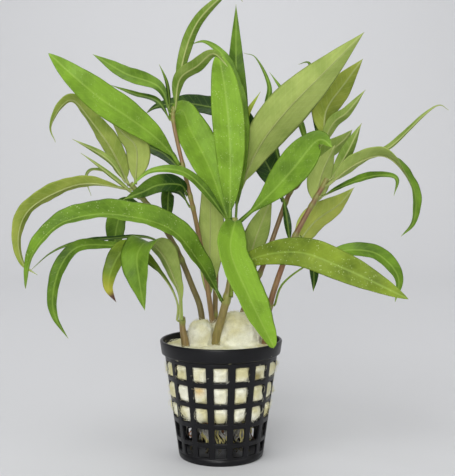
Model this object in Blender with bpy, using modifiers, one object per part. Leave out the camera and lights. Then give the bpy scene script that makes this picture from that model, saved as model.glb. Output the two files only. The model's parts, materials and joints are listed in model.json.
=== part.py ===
"""Potted hygrophila: an aquarium stem plant in mineral wool, in a black net pot.

The pot's axis is the Z axis and its underside lies on Z = 0. -Y is the front.
Lengths are given in millimetres and become metres in mm().
"""
import math

import bmesh
import bpy
from mathutils import Matrix, Vector

GAP = 0.3
FRONT = Vector((0, -1, 0))

POT_HEIGHT = 53.0
RIM_RADIUS = 27.5
BAND_FOOT_RADIUS = 26.8
BAND_STEP = 0.6
RIM_WALL = 1.3
RIM_BAND = 6.5
BODY_TOP_RADIUS = 25.4
BASE_RADIUS = 19.0
POT_WALL = 1.1
FLOOR_THICKNESS = 1.2
POT_EDGE = 0.5
POT_FACETS = 32
WINDOW_COLUMNS = 16
WINDOW_SHARE = 0.61
WINDOW_ROWS = [(4.0, 8.4), (10.6, 16.9), (19.4, 26.1), (28.4, 35.5), (38.0, 44.4)]
WINDOW_CUTTER_DEPTH = 5.0
BAND_BOTTOM = POT_HEIGHT - RIM_BAND

WOOL_BOTTOM = 19.0
WOOL_TOP = 51.0
WOOL_BEVEL_WIDTH = 4.0
WOOL_BEVEL_DROP = 1.5
WOOL_FOOT_BEVEL = 3.0
WOOL_LEFT_MOUND = {"centre": (-9, -2, 55), "radii": (6.4, 6.5, 7.5)}
WOOL_RIGHT_MOUND = {"centre": (7, 3, 54), "radii": (12.0, 10.0, 11.0)}
MOUND_SEGMENTS = 12
MOUND_RINGS = 8

ROOT_TOP_RADIUS = 15.0
ROOT_TIP_RADIUS = 11.0
ROOT_FACETS = 16

STEM_SIDES = 8
STEM_STEPS = 2
LEAF_THICKNESS = 0.5
LEAF_STATIONS = 10
LEAF_MIN_WIDTH = 0.9
SPAN_SAMPLES = 16
SCREW_WELD = 0.00005
CAP_WELD = 0.00001

stems = {}


def mm(*values):
    """Millimetres to metres, as a vector when there are several values."""
    if len(values) == 1:
        return values[0] / 1000
    return Vector(values) / 1000


def remove_old_objects():
    for old in list(bpy.data.objects):
        bpy.data.objects.remove(old, do_unlink=True)


def new_collection(name):
    group = bpy.data.collections.new(name)
    bpy.context.scene.collection.children.link(group)
    return group


def make_material(name, colour, roughness, metallic=0.0):
    material = bpy.data.materials.new(name)
    material.use_nodes = True
    shader = material.node_tree.nodes["Principled BSDF"]
    shader.inputs["Base Color"].default_value = (*colour, 1.0)
    shader.inputs["Roughness"].default_value = roughness
    shader.inputs["Metallic"].default_value = metallic
    return material


def add_object(name, data, group, material=None):
    obj = bpy.data.objects.new(name, data)
    group.objects.link(obj)
    if material:
        data.materials.append(material)
    return obj


def hide_cutter(obj):
    obj.hide_render = True
    obj.display_type = "WIRE"


def cut_with(obj, cutter, operation="DIFFERENCE"):
    modifier = obj.modifiers.new(f"{operation.lower()} {cutter.name}", "BOOLEAN")
    modifier.operation = operation
    modifier.object = cutter
    modifier.solver = "EXACT"


def turned(name, profile, group, material=None, facets=POT_FACETS):
    """Solid of revolution about Z from a profile that runs down its outer side."""
    mesh = bpy.data.meshes.new(name)
    bm = bmesh.new()
    corners = [bm.verts.new(mm(radius, 0, height)) for radius, height in profile]
    for first, second in zip(corners, corners[1:]):
        bm.edges.new((first, second))
    bm.to_mesh(mesh)
    bm.free()
    obj = add_object(name, mesh, group, material)
    screw = obj.modifiers.new("turn", "SCREW")
    screw.axis = "Z"
    screw.steps = facets
    screw.render_steps = facets
    screw.use_merge_vertices = True
    screw.merge_threshold = SCREW_WELD
    return obj


def wall_radius(height):
    """Outer radius of the pot's tapered body at a height."""
    share = height / BAND_BOTTOM
    return BASE_RADIUS + (BODY_TOP_RADIUS - BASE_RADIUS) * min(share, 1.0)


def build_pot(group, cutters, material):
    """Tapered cup with a deep rim band, cut through by rows of windows."""
    step = RIM_RADIUS - BODY_TOP_RADIUS
    profile = [
        (RIM_RADIUS - RIM_WALL, POT_HEIGHT),
        (RIM_RADIUS - POT_EDGE, POT_HEIGHT),
        (RIM_RADIUS, POT_HEIGHT - POT_EDGE),
        (BAND_FOOT_RADIUS, BAND_BOTTOM + BAND_STEP),
        (BODY_TOP_RADIUS, BAND_BOTTOM),
        (BASE_RADIUS, POT_EDGE),
        (BASE_RADIUS - POT_EDGE, 0.0),
        (0.0, 0.0),
        (0.0, FLOOR_THICKNESS),
        (wall_radius(FLOOR_THICKNESS) - POT_WALL, FLOOR_THICKNESS),
        (BODY_TOP_RADIUS - POT_WALL, BAND_BOTTOM),
        (RIM_RADIUS - RIM_WALL, BAND_BOTTOM + step),
        (RIM_RADIUS - RIM_WALL, POT_HEIGHT),
    ]
    pot = turned("pot", profile, group, material)
    cut_with(pot, window_cutters(cutters))
    return pot


def window_cutters(group):
    """One block for each window, all in one mesh: columns round the pot, rows up it."""
    mesh = bpy.data.meshes.new("window cutters")
    bm = bmesh.new()
    for column in range(WINDOW_COLUMNS):
        angle = -math.pi / 2 + column * 2 * math.pi / WINDOW_COLUMNS
        for bottom, top in WINDOW_ROWS:
            middle = (bottom + top) / 2
            radius = wall_radius(middle) - POT_WALL / 2
            width = WINDOW_SHARE * 2 * math.pi * radius / WINDOW_COLUMNS
            place = Matrix.Rotation(angle, 4, "Z") @ Matrix.Translation(mm(radius, 0, middle))
            size = Matrix.Diagonal((*mm(WINDOW_CUTTER_DEPTH, width, top - bottom), 1.0))
            bmesh.ops.create_cube(bm, size=1.0, matrix=place @ size)
    bm.to_mesh(mesh)
    bm.free()
    cutter = add_object("window cutters", mesh, group)
    hide_cutter(cutter)
    return cutter


def mound(name, centre, radii, group):
    mesh = bpy.data.meshes.new(name)
    bm = bmesh.new()
    shape = Matrix.Translation(mm(*centre)) @ Matrix.Diagonal((*mm(*radii), 1.0))
    bmesh.ops.create_uvsphere(bm, u_segments=MOUND_SEGMENTS, v_segments=MOUND_RINGS,
                              radius=1.0, matrix=shape)
    bm.to_mesh(mesh)
    bm.free()
    obj = add_object(name, mesh, group)
    hide_cutter(obj)
    return obj


def build_wool(group, cutters, material):
    """Wool plug that fills the pot's upper part, with two mounds above the rim."""
    clearance = POT_WALL + GAP
    top_radius = RIM_RADIUS - RIM_WALL - GAP
    foot_top = WOOL_BOTTOM + WOOL_FOOT_BEVEL
    profile = [
        (0.0, WOOL_TOP),
        (top_radius - WOOL_BEVEL_WIDTH, WOOL_TOP),
        (top_radius, WOOL_TOP - WOOL_BEVEL_DROP),
        (top_radius, BAND_BOTTOM + RIM_RADIUS - BODY_TOP_RADIUS + GAP),
        (BODY_TOP_RADIUS - clearance, BAND_BOTTOM - GAP),
        (wall_radius(foot_top) - clearance, foot_top),
        (wall_radius(WOOL_BOTTOM) - clearance - WOOL_FOOT_BEVEL, WOOL_BOTTOM),
        (0.0, WOOL_BOTTOM),
    ]
    wool = turned("wool", profile, group, material)
    cut_with(wool, mound("left mound", **WOOL_LEFT_MOUND, group=cutters), "UNION")
    cut_with(wool, mound("right mound", **WOOL_RIGHT_MOUND, group=cutters), "UNION")
    for name, stem in stems.items():
        socket = tube(f"{name} socket", stem["path"], stem["radii"], cutters, extra=GAP)
        cut_with(wool, curve_to_mesh(socket, cutters))
    return wool


def build_roots(group, material):
    """Root tuft that hangs from the wool to just above the pot's floor."""
    top = WOOL_BOTTOM - GAP
    profile = [
        (0.0, top),
        (ROOT_TOP_RADIUS, top),
        (ROOT_TIP_RADIUS, FLOOR_THICKNESS + GAP),
        (0.0, FLOOR_THICKNESS + GAP),
    ]
    return turned("roots", profile, group, material, facets=ROOT_FACETS)


def smooth_path(points, count):
    """Catmull-Rom curve through the points, as count points at even spacing."""
    ends = [points[0] * 2 - points[1], *points, points[-1] * 2 - points[-2]]
    dense = []
    for before, start, stop, after in zip(ends, ends[1:], ends[2:], ends[3:]):
        for sample in range(SPAN_SAMPLES):
            t = sample / SPAN_SAMPLES
            pull = (stop - before) * t + (before * 2 - start * 5 + stop * 4 - after) * t ** 2
            bend = (start * 3 - before - stop * 3 + after) * t ** 3
            dense.append(start + (pull + bend) / 2)
    dense.append(points[-1])
    lengths = [0.0]
    for first, second in zip(dense, dense[1:]):
        lengths.append(lengths[-1] + (second - first).length)
    path = []
    piece = 0
    for station in range(count):
        wanted = lengths[-1] * station / (count - 1)
        while piece < len(dense) - 2 and lengths[piece + 1] < wanted:
            piece += 1
        share = (wanted - lengths[piece]) / (lengths[piece + 1] - lengths[piece])
        path.append(dense[piece].lerp(dense[piece + 1], share))
    return path


def tube(name, path, radii, group, material=None, extra=0.0):
    """Round rod along a path, its radius running from radii[0] to radii[1]."""
    curve = bpy.data.curves.new(name, "CURVE")
    curve.dimensions = "3D"
    curve.bevel_depth = 0.001
    curve.bevel_resolution = STEM_SIDES // 4
    curve.use_fill_caps = True
    spline = curve.splines.new("POLY")
    spline.points.add(len(path) - 1)
    for index, place in enumerate(path):
        share = index / (len(path) - 1)
        spline.points[index].co = (*place / 1000, 1.0)
        spline.points[index].radius = radii[0] + (radii[1] - radii[0]) * share + extra
    if extra:
        spline.points[0].co.z -= mm(extra)
    return add_object(name, curve, group, material)


def curve_to_mesh(obj, group):
    """Mesh copy of a curve object with welded caps, for a Boolean."""
    evaluated = obj.evaluated_get(bpy.context.evaluated_depsgraph_get())
    mesh = bpy.data.meshes.new_from_object(evaluated)
    bm = bmesh.new()
    bm.from_mesh(mesh)
    bmesh.ops.remove_doubles(bm, verts=bm.verts, dist=CAP_WELD)
    bm.to_mesh(mesh)
    bm.free()
    name = obj.name
    solid = add_object(f"{name} solid", mesh, group)
    solid.matrix_world = obj.matrix_world
    bpy.data.objects.remove(obj, do_unlink=True)
    hide_cutter(solid)
    return solid


def build_stem(name, points, radii, group, material):
    path = smooth_path([Vector(point) for point in points], STEM_STEPS * (len(points) - 1) + 1)
    stems[name] = {"path": path, "radii": radii}
    return tube(name, path, radii, group, material)


def stem_at(name, height):
    """Centre and radius of a stem at a height."""
    path = stems[name]["path"]
    radii = stems[name]["radii"]
    for index, (low, high) in enumerate(zip(path, path[1:])):
        if high.z >= height:
            break
    share = min((height - low.z) / (high.z - low.z), 1.0)
    along = (index + share) / (len(path) - 1)
    return low.lerp(high, share), radii[0] + (radii[1] - radii[0]) * along


def blade_width(along, width, widest, petiole, taper):
    """Full width of a blade at a share of its length; a low taper keeps the ends broad."""
    if along <= petiole:
        return LEAF_MIN_WIDTH
    blade = (along - petiole) / (1.0 - petiole)
    power = math.log(0.5) / math.log(widest)
    arch = max(0.0, math.sin(math.pi * blade ** power))
    return max(LEAF_MIN_WIDTH, width * arch ** taper)


def blade_frames(path, turn):
    """Side and face directions of the blade at each station.

    A blade lies level across its heading, and turn (degrees, base and tip) rolls its
    upper face towards the front; a negative turn shows its underside there.
    """
    run = path[-1] - path[0]
    level = Vector((0, 0, 1)).cross(Vector((run.x, run.y, 0.0))).normalized()
    frames = []
    for index in range(len(path)):
        before = path[max(index - 1, 0)]
        after = path[min(index + 1, len(path) - 1)]
        tangent = (after - before).normalized()
        share = index / (len(path) - 1)
        angle = math.radians(turn[0] + (turn[1] - turn[0]) * share)
        upper = tangent.cross(level).normalized()
        front = (FRONT - tangent * FRONT.dot(tangent)).normalized()
        face = upper * math.cos(angle) + front * math.sin(angle)
        side = tangent.cross(face).normalized()
        frames.append((side, side.cross(tangent)))
    return frames


def build_leaf(name, stem, height, width, points, group, material,
               turn=(0, 0), fold=20, widest=0.42, petiole=0.05, taper=1.0):
    """Closed thin blade from its stem through the points, folded along its midrib."""
    centre, radius = stem_at(stem, height)
    first = Vector(points[0])
    outward = Vector((first.x - centre.x, first.y - centre.y, 0.0)).normalized()
    base = centre + outward * (radius + GAP + LEAF_THICKNESS)
    path = smooth_path([base, *[Vector(point) for point in points]], LEAF_STATIONS)
    frames = blade_frames(path, turn)
    mesh = bpy.data.meshes.new(name)
    bm = bmesh.new()
    bmesh.ops.create_grid(bm, x_segments=LEAF_STATIONS - 1, y_segments=2, size=1.0)
    for vert in bm.verts:
        station = round((vert.co.x + 1) / 2 * (LEAF_STATIONS - 1))
        across = vert.co.y
        side, face = frames[station]
        half = blade_width(station / (LEAF_STATIONS - 1), width, widest, petiole, taper) / 2
        angle = math.radians(fold)
        reach = side * across * math.cos(angle) + face * abs(across) * math.sin(angle)
        vert.co = (path[station] + reach * half) / 1000
    bmesh.ops.recalc_face_normals(bm, faces=bm.faces)
    for face in bm.faces:
        face.smooth = True
    bm.to_mesh(mesh)
    bm.free()
    leaf = add_object(name, mesh, group, material)
    skin = leaf.modifiers.new("thickness", "SOLIDIFY")
    skin.thickness = mm(LEAF_THICKNESS)
    skin.offset = 0.0
    return leaf


def build_stems(group, material):
    rods = [
        ("stem_tall", (1.3, 0.8), [(-4, 9, 45), (-4, 8, 58), (-8, 6, 87), (-12, 3, 109),
                                   (-17, 0, 131), (-21, 0, 149), (-21, 0, 157)]),
        ("stem_left", (1.5, 1.0), [(-8, 0, 46), (-9, 0, 65), (-13, -1, 77), (-20, -3, 94),
                                   (-29, -4, 109), (-40, -5, 123)]),
        ("stem_centre", (2.1, 1.2), [(-3, -3, 44), (-2, -5, 55), (1, -7, 66), (4, -8, 79),
                                     (5, -8, 92), (6, -8, 108)]),
        ("stem_back", (1.3, 1.0), [(-4, 13, 44), (-3, 14, 61), (-2, 14, 92), (0, 14, 107),
                                   (8, 14, 122)]),
        ("stem_rear_right", (1.3, 1.0), [(8, 9, 46), (10, 10, 64), (19, 12, 84), (31, 14, 117),
                                         (36, 14, 123), (46, 14, 143)]),
        ("stem_right", (1.5, 1.0), [(18, -1, 44), (20, -2, 53), (22, -2, 69), (28, -3, 88),
                                    (32, -4, 98), (40, -4, 113), (47, -4, 125)]),
        ("stem_short", (2.2, 1.1), [(-15, -7, 44), (-16, -7, 53), (-17, -7, 59), (-17, -8, 64)]),
    ]
    for name, radii, points in rods:
        build_stem(name, points, radii, group, material)


def build_leaves(group, material):
    def leaf(name, stem, height, width, points, **shape):
        build_leaf(name, stem, height, width, points, group, material, **shape)

    # Leaves of the tall stem, from the lowest up
    leaf("leaf_tall_1", "stem_tall", 112, 7, [(-19, 10, 119), (-24, 15, 119), (-25, 17, 104)],
         turn=(60, 80), widest=0.6)
    leaf("leaf_tall_2", "stem_tall", 117, 10,
         [(-18, -3, 122), (-27, -8, 122), (-34, -11, 119), (-42, -14, 116)], turn=(60, 60))
    leaf("leaf_tall_3", "stem_tall", 128, 8, [(-26, 14, 136), (-34, 24, 140), (-40, 32, 145)],
         turn=(50, 50))
    leaf("leaf_tall_4", "stem_tall", 131, 15,
         [(-22, -3, 136), (-30, -8, 144), (-41, -12, 152), (-50, -15, 158), (-61, -18, 167),
          (-73, -17, 178)], turn=(75, 75), widest=0.52, taper=0.8)
    leaf("leaf_tall_5", "stem_tall", 151, 3.5, [(-29, 8, 160), (-40, 16, 164), (-52, 24, 169)],
         turn=(50, 50))
    leaf("leaf_tall_6", "stem_tall", 153.5, 8, [(-28, 6, 166), (-44, 14, 173), (-60, 22, 183)],
         turn=(70, 60), widest=0.5)
    leaf("leaf_tall_7", "stem_tall", 155, 2.2, [(-24, -2, 167), (-27, -4, 175)], turn=(60, 60))
    leaf("leaf_tall_8", "stem_tall", 156, 6,
         [(-17, 8, 179), (-11, 14, 196), (-1, 20, 208), (5, 24, 213), (10, 26, 208)], turn=(-70, -70))
    leaf("leaf_tall_9", "stem_tall", 155, 7,
         [(-18, -6, 168), (-10, -14, 173), (-3, -22, 177), (3, -28, 171)], turn=(-50, -50))

    # Leaves of the leaning left stem
    leaf("leaf_left_1", "stem_left", 89, 7,
         [(-31, -8, 95), (-46, -14, 96), (-60, -22, 96), (-67, -26, 88), (-70, -28, 76),
          (-69, -28, 67), (-64, -28, 58)], turn=(40, 60), widest=0.6)
    leaf("leaf_left_2", "stem_left", 94, 3.5,
         [(-33, -4, 99), (-49, 2, 98), (-65, 6, 96), (-78, 10, 91), (-88, 12, 83)], turn=(30, 30))
    leaf("leaf_left_3", "stem_left", 113, 12, [(-43, 6, 113), (-48, 13, 103), (-50, 17, 90)],
         turn=(60, 70), widest=0.55)
    leaf("leaf_left_4", "stem_left", 120.5, 10,
         [(-57, -10, 123), (-69, -14, 120), (-82, -16, 112), (-87, -16, 101), (-86, -14, 89),
          (-80, -12, 83)], turn=(-40, -40))
    leaf("leaf_left_5", "stem_left", 116, 3,
         [(-46, 4, 123), (-53, 12, 128), (-61, 20, 129), (-64, 24, 125), (-62, 26, 117)], turn=(-30, -30))
    leaf("leaf_left_6", "stem_left", 122, 11,
         [(-49, 3, 138), (-60, 6, 153), (-66, 4, 160), (-71, 0, 157), (-75, -3, 148), (-73, -4, 141)],
         turn=(-85, -10), widest=0.3)
    leaf("leaf_left_7", "stem_left", 122.5, 12, [(-37, -6, 138), (-43, -6, 145), (-48, -4, 150)],
         turn=(-80, -80))
    leaf("leaf_left_8", "stem_left", 122.8, 3.5, [(-47, -8, 131), (-53, -9, 136), (-64, -12, 142)],
         turn=(-60, -60))
    leaf("leaf_left_9", "stem_left", 117.5, 2.5, [(-51, -12, 129), (-60, -15, 136)], turn=(-60, -60))

    # Leaves of the centre stem
    leaf("leaf_centre_1", "stem_centre", 71, 15,
         [(-3, -13, 78), (-10, -20, 90), (-22, -28, 104), (-44, -38, 110), (-60, -44, 108),
          (-69, -46, 102), (-75, -46, 93), (-78, -44, 81)], turn=(55, 25), fold=30, taper=0.7)
    leaf("leaf_centre_2", "stem_centre", 73, 14,
         [(6, -12, 83), (15, -17, 91), (33, -26, 94), (51, -36, 88), (75, -46, 77)],
         turn=(75, 75), widest=0.56, taper=0.8)
    leaf("leaf_centre_3", "stem_centre", 103, 17,
         [(6, -14, 106), (4, -26, 94), (11, -32, 77), (22, -34, 55)], widest=0.46, taper=0.5)
    leaf("leaf_centre_4", "stem_centre", 105.5, 5,
         [(-7, -14, 120), (-17, -16, 128), (-30, -17, 128), (-39, -17, 121)], turn=(60, 60))
    leaf("leaf_centre_5", "stem_centre", 104.5, 18,
         [(-5, 0, 129), (-14, 8, 147), (-18, 12, 156), (-24, 14, 152)], turn=(60, 60), widest=0.55,
         taper=0.6)
    leaf("leaf_centre_6", "stem_centre", 107.5, 15, [(4, -9, 137), (2, -6, 162), (-1, 0, 180)],
         turn=(85, 85), widest=0.55, taper=0.5)
    leaf("leaf_centre_7", "stem_centre", 106.5, 9,
         [(8, 0, 133), (8, 8, 156), (4, 16, 175), (-1, 20, 184), (-8, 24, 189), (-15, 26, 188)],
         turn=(60, 60))
    leaf("leaf_centre_8", "stem_centre", 106, 16,
         [(21, -14, 118), (31, -17, 129), (41, -20, 141), (47, -24, 138)], turn=(75, 75), widest=0.6)

    # Leaves of the back stem
    leaf("leaf_back_1", "stem_back", 62, 13, [(-6, 11, 76), (-5, 10, 97), (-5, 8, 120), (-6, 5, 140)],
         petiole=0.1)
    leaf("leaf_back_2", "stem_back", 113, 12,
         [(13, 26, 146), (5, 36, 157), (-6, 42, 160), (-18, 45, 162), (-31, 46, 161), (-38, 46, 157)],
         turn=(60, 60), petiole=0.2, widest=0.52)
    leaf("leaf_back_3", "stem_back", 118.5, 10, [(8, 20, 148), (7, 30, 180), (7, 38, 209)],
         turn=(70, 70))
    leaf("leaf_back_4", "stem_back", 121.8, 5.5, [(9, 15, 138), (11, 15, 152), (18, 15, 165)],
         turn=(60, 60))
    leaf("leaf_back_5", "stem_back", 119, 20,
         [(17, 6, 139), (29, -4, 155), (46, -14, 172), (60, -22, 186)], turn=(-80, -80))

    # Leaves of the rear right stem
    leaf("leaf_rear_right_1", "stem_rear_right", 81, 12, [(14, 8, 91), (18, 5, 104), (23, 4, 117)],
         turn=(-80, -80))
    leaf("leaf_rear_right_2", "stem_rear_right", 114, 15, [(24, 26, 127), (18, 36, 139), (13, 44, 149)],
         turn=(60, 60))
    leaf("leaf_rear_right_3", "stem_rear_right", 119, 3.5,
         [(22, 28, 154), (23, 38, 170), (17, 44, 184), (11, 46, 187)], turn=(40, 40))
    leaf("leaf_rear_right_4", "stem_rear_right", 135, 4, [(37, 20, 150), (31, 26, 163), (23, 32, 176)],
         turn=(50, 50))
    leaf("leaf_rear_right_5", "stem_rear_right", 133, 9, [(54, 8, 141), (59, 4, 147)],
         turn=(-60, -60))
    leaf("leaf_rear_right_6", "stem_rear_right", 141, 4.8,
         [(44, 22, 157), (43, 28, 170), (42, 32, 180), (37, 34, 180)], turn=(60, 60))
    leaf("leaf_rear_right_7", "stem_rear_right", 137, 6.4, [(51, 10, 150), (57, 8, 155), (65, 6, 165)],
         turn=(-70, -70))
    leaf("leaf_rear_right_8", "stem_rear_right", 142.5, 14, [(48, 12, 156), (56, 10, 168), (64, 8, 179)],
         turn=(-70, -70))

    # Leaves of the right stem
    leaf("leaf_right_1", "stem_right", 68, 8,
         [(27, -6, 78), (36, -9, 86), (48, -12, 92), (58, -14, 94), (68, -16, 92), (76, -17, 83),
          (75, -18, 72)], turn=(45, 60), petiole=0.2, widest=0.62)
    leaf("leaf_right_2", "stem_right", 92, 14, [(42, 6, 105), (54, 12, 113), (62, 18, 121)],
         turn=(-70, -70))
    leaf("leaf_right_3", "stem_right", 96, 3.6, [(30, 2, 104), (28, 4, 117)], turn=(60, 60))
    leaf("leaf_right_4", "stem_right", 100, 5, [(39, -3, 94), (41, -4, 84), (41, -5, 75)],
         turn=(60, 60), widest=0.6)
    leaf("leaf_right_5", "stem_right", 113, 12, [(45, 0, 127), (51, 2, 140)], turn=(-80, -80))
    leaf("leaf_right_6", "stem_right", 117, 5.6,
         [(56, -14, 123), (65, -24, 126), (72, -32, 125), (71, -34, 118)], turn=(40, 40))
    leaf("leaf_right_7", "stem_right", 122, 12,
         [(58, -9, 131), (69, -12, 135), (77, -14, 130), (83, -15, 119), (83, -15, 107), (78, -14, 100)],
         turn=(-70, 70), widest=0.36)
    leaf("leaf_right_8", "stem_right", 123, 3.5,
         [(61, 2, 134), (76, 8, 139), (93, 14, 154), (101, 18, 159), (106, 20, 157)], turn=(-60, -60))
    leaf("leaf_right_9", "stem_right", 124.5, 6.5, [(55, -8, 136), (61, -10, 149)], turn=(-70, -70))

    # Leaves of the short stem
    leaf("leaf_short_1", "stem_short", 62, 9,
         [(-19, -8, 70), (-23, -9, 79), (-31, -15, 89), (-40, -22, 95), (-45, -26, 88), (-47, -26, 80),
          (-44, -26, 73)], turn=(20, 70), widest=0.65)
    leaf("leaf_short_2", "stem_short", 62.5, 16,
         [(-18, -11, 75), (-20, -12, 81), (-23, -16, 89), (-27, -23, 96), (-31, -29, 98), (-34, -33, 93),
          (-33, -36, 84), (-31, -36, 71)], widest=0.58)


def main():
    remove_old_objects()
    parts = new_collection("potted hygrophila")
    cutters = new_collection("cutters")
    black_plastic = make_material("black moulded plastic", (0.025, 0.025, 0.03), 0.35)
    mineral_wool = make_material("cream mineral wool", (0.72, 0.68, 0.45), 0.95)
    stem_skin = make_material("olive brown stem", (0.21, 0.13, 0.04), 0.5)
    root_tan = make_material("tan roots", (0.33, 0.21, 0.10), 0.8)
    leaf_green = make_material("hygrophila leaf", (0.19, 0.38, 0.04), 0.4)
    build_pot(parts, cutters, black_plastic)
    build_stems(parts, stem_skin)
    build_leaves(parts, leaf_green)
    build_wool(parts, cutters, mineral_wool)
    build_roots(parts, root_tan)


main()
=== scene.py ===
# %% [markdown]
# # A potted hygrophila
#
# Hygrophila is an aquarium stem plant with long, soft, lance-shaped leaves. It is sold in a
# small black net pot, rooted in mineral wool. This lesson dresses the plain solids of such
# a plant: it loads them as a fixed frame, then makes a finer piece for each of them, in the
# same place and with the same size. Lengths are metres, +Z is up and -Y is the front.

# %% Load the frame
import json
import math

import bmesh
import bpy
from mathutils import Matrix, Vector, noise

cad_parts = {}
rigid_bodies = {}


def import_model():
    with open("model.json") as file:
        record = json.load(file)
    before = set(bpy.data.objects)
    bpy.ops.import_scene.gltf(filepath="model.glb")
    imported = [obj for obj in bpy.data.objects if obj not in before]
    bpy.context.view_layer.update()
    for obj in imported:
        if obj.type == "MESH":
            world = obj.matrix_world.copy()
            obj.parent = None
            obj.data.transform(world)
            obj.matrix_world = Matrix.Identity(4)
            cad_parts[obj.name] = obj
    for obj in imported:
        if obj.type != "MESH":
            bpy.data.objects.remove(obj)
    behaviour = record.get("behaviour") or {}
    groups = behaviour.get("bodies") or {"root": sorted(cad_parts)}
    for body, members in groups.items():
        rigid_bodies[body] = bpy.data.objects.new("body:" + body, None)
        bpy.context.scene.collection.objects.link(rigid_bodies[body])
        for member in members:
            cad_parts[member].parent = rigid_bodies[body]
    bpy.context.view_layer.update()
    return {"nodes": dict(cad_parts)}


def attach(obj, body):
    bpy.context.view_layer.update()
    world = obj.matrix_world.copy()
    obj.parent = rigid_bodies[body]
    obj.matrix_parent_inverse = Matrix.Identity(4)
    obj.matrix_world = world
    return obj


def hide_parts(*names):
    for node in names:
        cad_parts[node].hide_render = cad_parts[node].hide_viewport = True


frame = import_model()
scene = bpy.context.scene
print("solids in the frame:", len(frame["nodes"]))

# %% [markdown]
# ## Small tools
#
# Colours are picked as sRGB hex codes, as a picture editor shows them. Shaders work in
# linear light, so one function turns a code into linear values.
#
# Every node of every tree comes from one function. It makes the node, sets its properties
# and fills its inputs with a value, or with a link when it is given a node or a socket.

# %% Colour and node tools
MM = 0.001


def colour(code):
    """sRGB hex code as linear red, green, blue and alpha."""
    parts = [int(code[i:i + 2], 16) / 255 for i in (1, 3, 5)]
    return (*[c / 12.92 if c <= 0.04045 else ((c + 0.055) / 1.055) ** 2.4 for c in parts], 1.0)


def add(tree, kind, inputs=None, stops=None, **settings):
    """One node: settings are its properties, inputs its sockets by name or number."""
    node = tree.nodes.new(kind)
    for name, value in settings.items():
        setattr(node, name, value)
    for key, value in (inputs or {}).items():
        named = [s for s in node.inputs if s.enabled and s.name == key]
        socket = named[0] if named else node.inputs[key]
        for item in value if isinstance(value, list) else [value]:
            if isinstance(item, bpy.types.Node):
                item = next(s for s in item.outputs if s.enabled)
            if isinstance(item, bpy.types.NodeSocket):
                tree.links.new(item, socket)
            else:
                socket.default_value = item
    for place, code in stops or []:
        ends = node.color_ramp.elements
        stop = ends[place] if place in (0, 1) else ends.new(place)
        stop.color = colour(code)
    return node


print("white is", colour("#FFFFFF"))

# %% [markdown]
# A Geometry Nodes tree needs an interface: named inputs for its sizes, one geometry in and
# one out. A modifier stores each input under the socket's identifier, so the next function
# looks that up by name. It then turns the result into a plain mesh, and the modifier goes,
# so that the finished piece stands alone.

# %% Geometry tools
SOCKET_KINDS = {float: "NodeSocketFloat", int: "NodeSocketInt",
                bpy.types.Material: "NodeSocketMaterial"}


def new_tree(name, inputs):
    """Empty geometry tree with named inputs; returns it with its group input node."""
    tree = bpy.data.node_groups.new(name, "GeometryNodeTree")
    tree.interface.new_socket("Geometry", in_out="INPUT", socket_type="NodeSocketGeometry")
    tree.interface.new_socket("Geometry", in_out="OUTPUT", socket_type="NodeSocketGeometry")
    for label, value in inputs.items():
        socket = tree.interface.new_socket(label, in_out="INPUT", socket_type=SOCKET_KINDS[type(value)])
        socket.default_value = value
    return tree, add(tree, "NodeGroupInput").outputs


def plain_object(name, mesh):
    """Object at the origin that holds the mesh."""
    obj = bpy.data.objects.new(name, mesh)
    scene.collection.objects.link(obj)
    return obj


def apply_all(obj):
    """Turn an object and its modifiers into one plain mesh."""
    graph = bpy.context.evaluated_depsgraph_get()
    mesh = bpy.data.meshes.new_from_object(obj.evaluated_get(graph), preserve_all_data_layers=True,
                                           depsgraph=graph)
    mesh.name = obj.name
    obj.modifiers.clear()
    obj.data = mesh
    return obj


def grow(name, mesh, tree, **values):
    """Run a geometry tree over a mesh, with its inputs set by identifier."""
    obj = plain_object(name, mesh)
    modifier = obj.modifiers.new(tree.name, "NODES")
    modifier.node_group = tree
    wanted = {label.replace("_", " "): value for label, value in values.items()}
    for item in tree.interface.items_tree:
        if item.in_out == "INPUT" and item.name.lower() in wanted:
            modifier[item.identifier] = wanted[item.name.lower()]
    return apply_all(obj)


def finish_piece(obj, slot, *nodes):
    """Let the piece ride on the one body and stand for its solids; its slot is not used."""
    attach(obj, "root")
    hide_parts(*nodes)


# %% [markdown]
# ## Camera, floor and light
#
# The picture was taken with a short telephoto view from a little above the pot's rim,
# tilted down by less than four degrees. The camera's height, distance and tilt were worked
# out from how round the pot's rim and base look in the picture.
#
# The floor is a pale sweep that curves up behind the plant, so that no edge shows. A soft key
# light stands above the camera and to its left, a lower one behind the camera, a weaker one
# to the right and one above the backdrop, and the world gives the rest.

# %% Camera
camera = bpy.data.objects.new("camera", bpy.data.cameras.new("camera"))
scene.collection.objects.link(camera)
camera.location = (2.9 * MM, -400 * MM, 124 * MM)
camera.rotation_euler = (math.radians(90 - 3.65), 0, 0)
camera.data.sensor_fit = "HORIZONTAL"
camera.data.sensor_width = 36
camera.data.lens = 70.77
scene.camera = camera
scene.view_settings.view_transform = "Standard"
print("camera at", [round(v, 4) for v in camera.location])

# %% Floor and lights


def new_material(name):
    """Material with an empty tree; returns it with its tree."""
    material = bpy.data.materials.new(name)
    material.use_nodes = True
    material.node_tree.nodes.clear()
    return material, material.node_tree


def shade(tree, **sockets):
    """Principled shader to the output; socket names are written with underscores."""
    shader = add(tree, "ShaderNodeBsdfPrincipled",
                 {label.replace("_", " "): value for label, value in sockets.items()})
    add(tree, "ShaderNodeOutputMaterial", {"Surface": shader})


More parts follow.
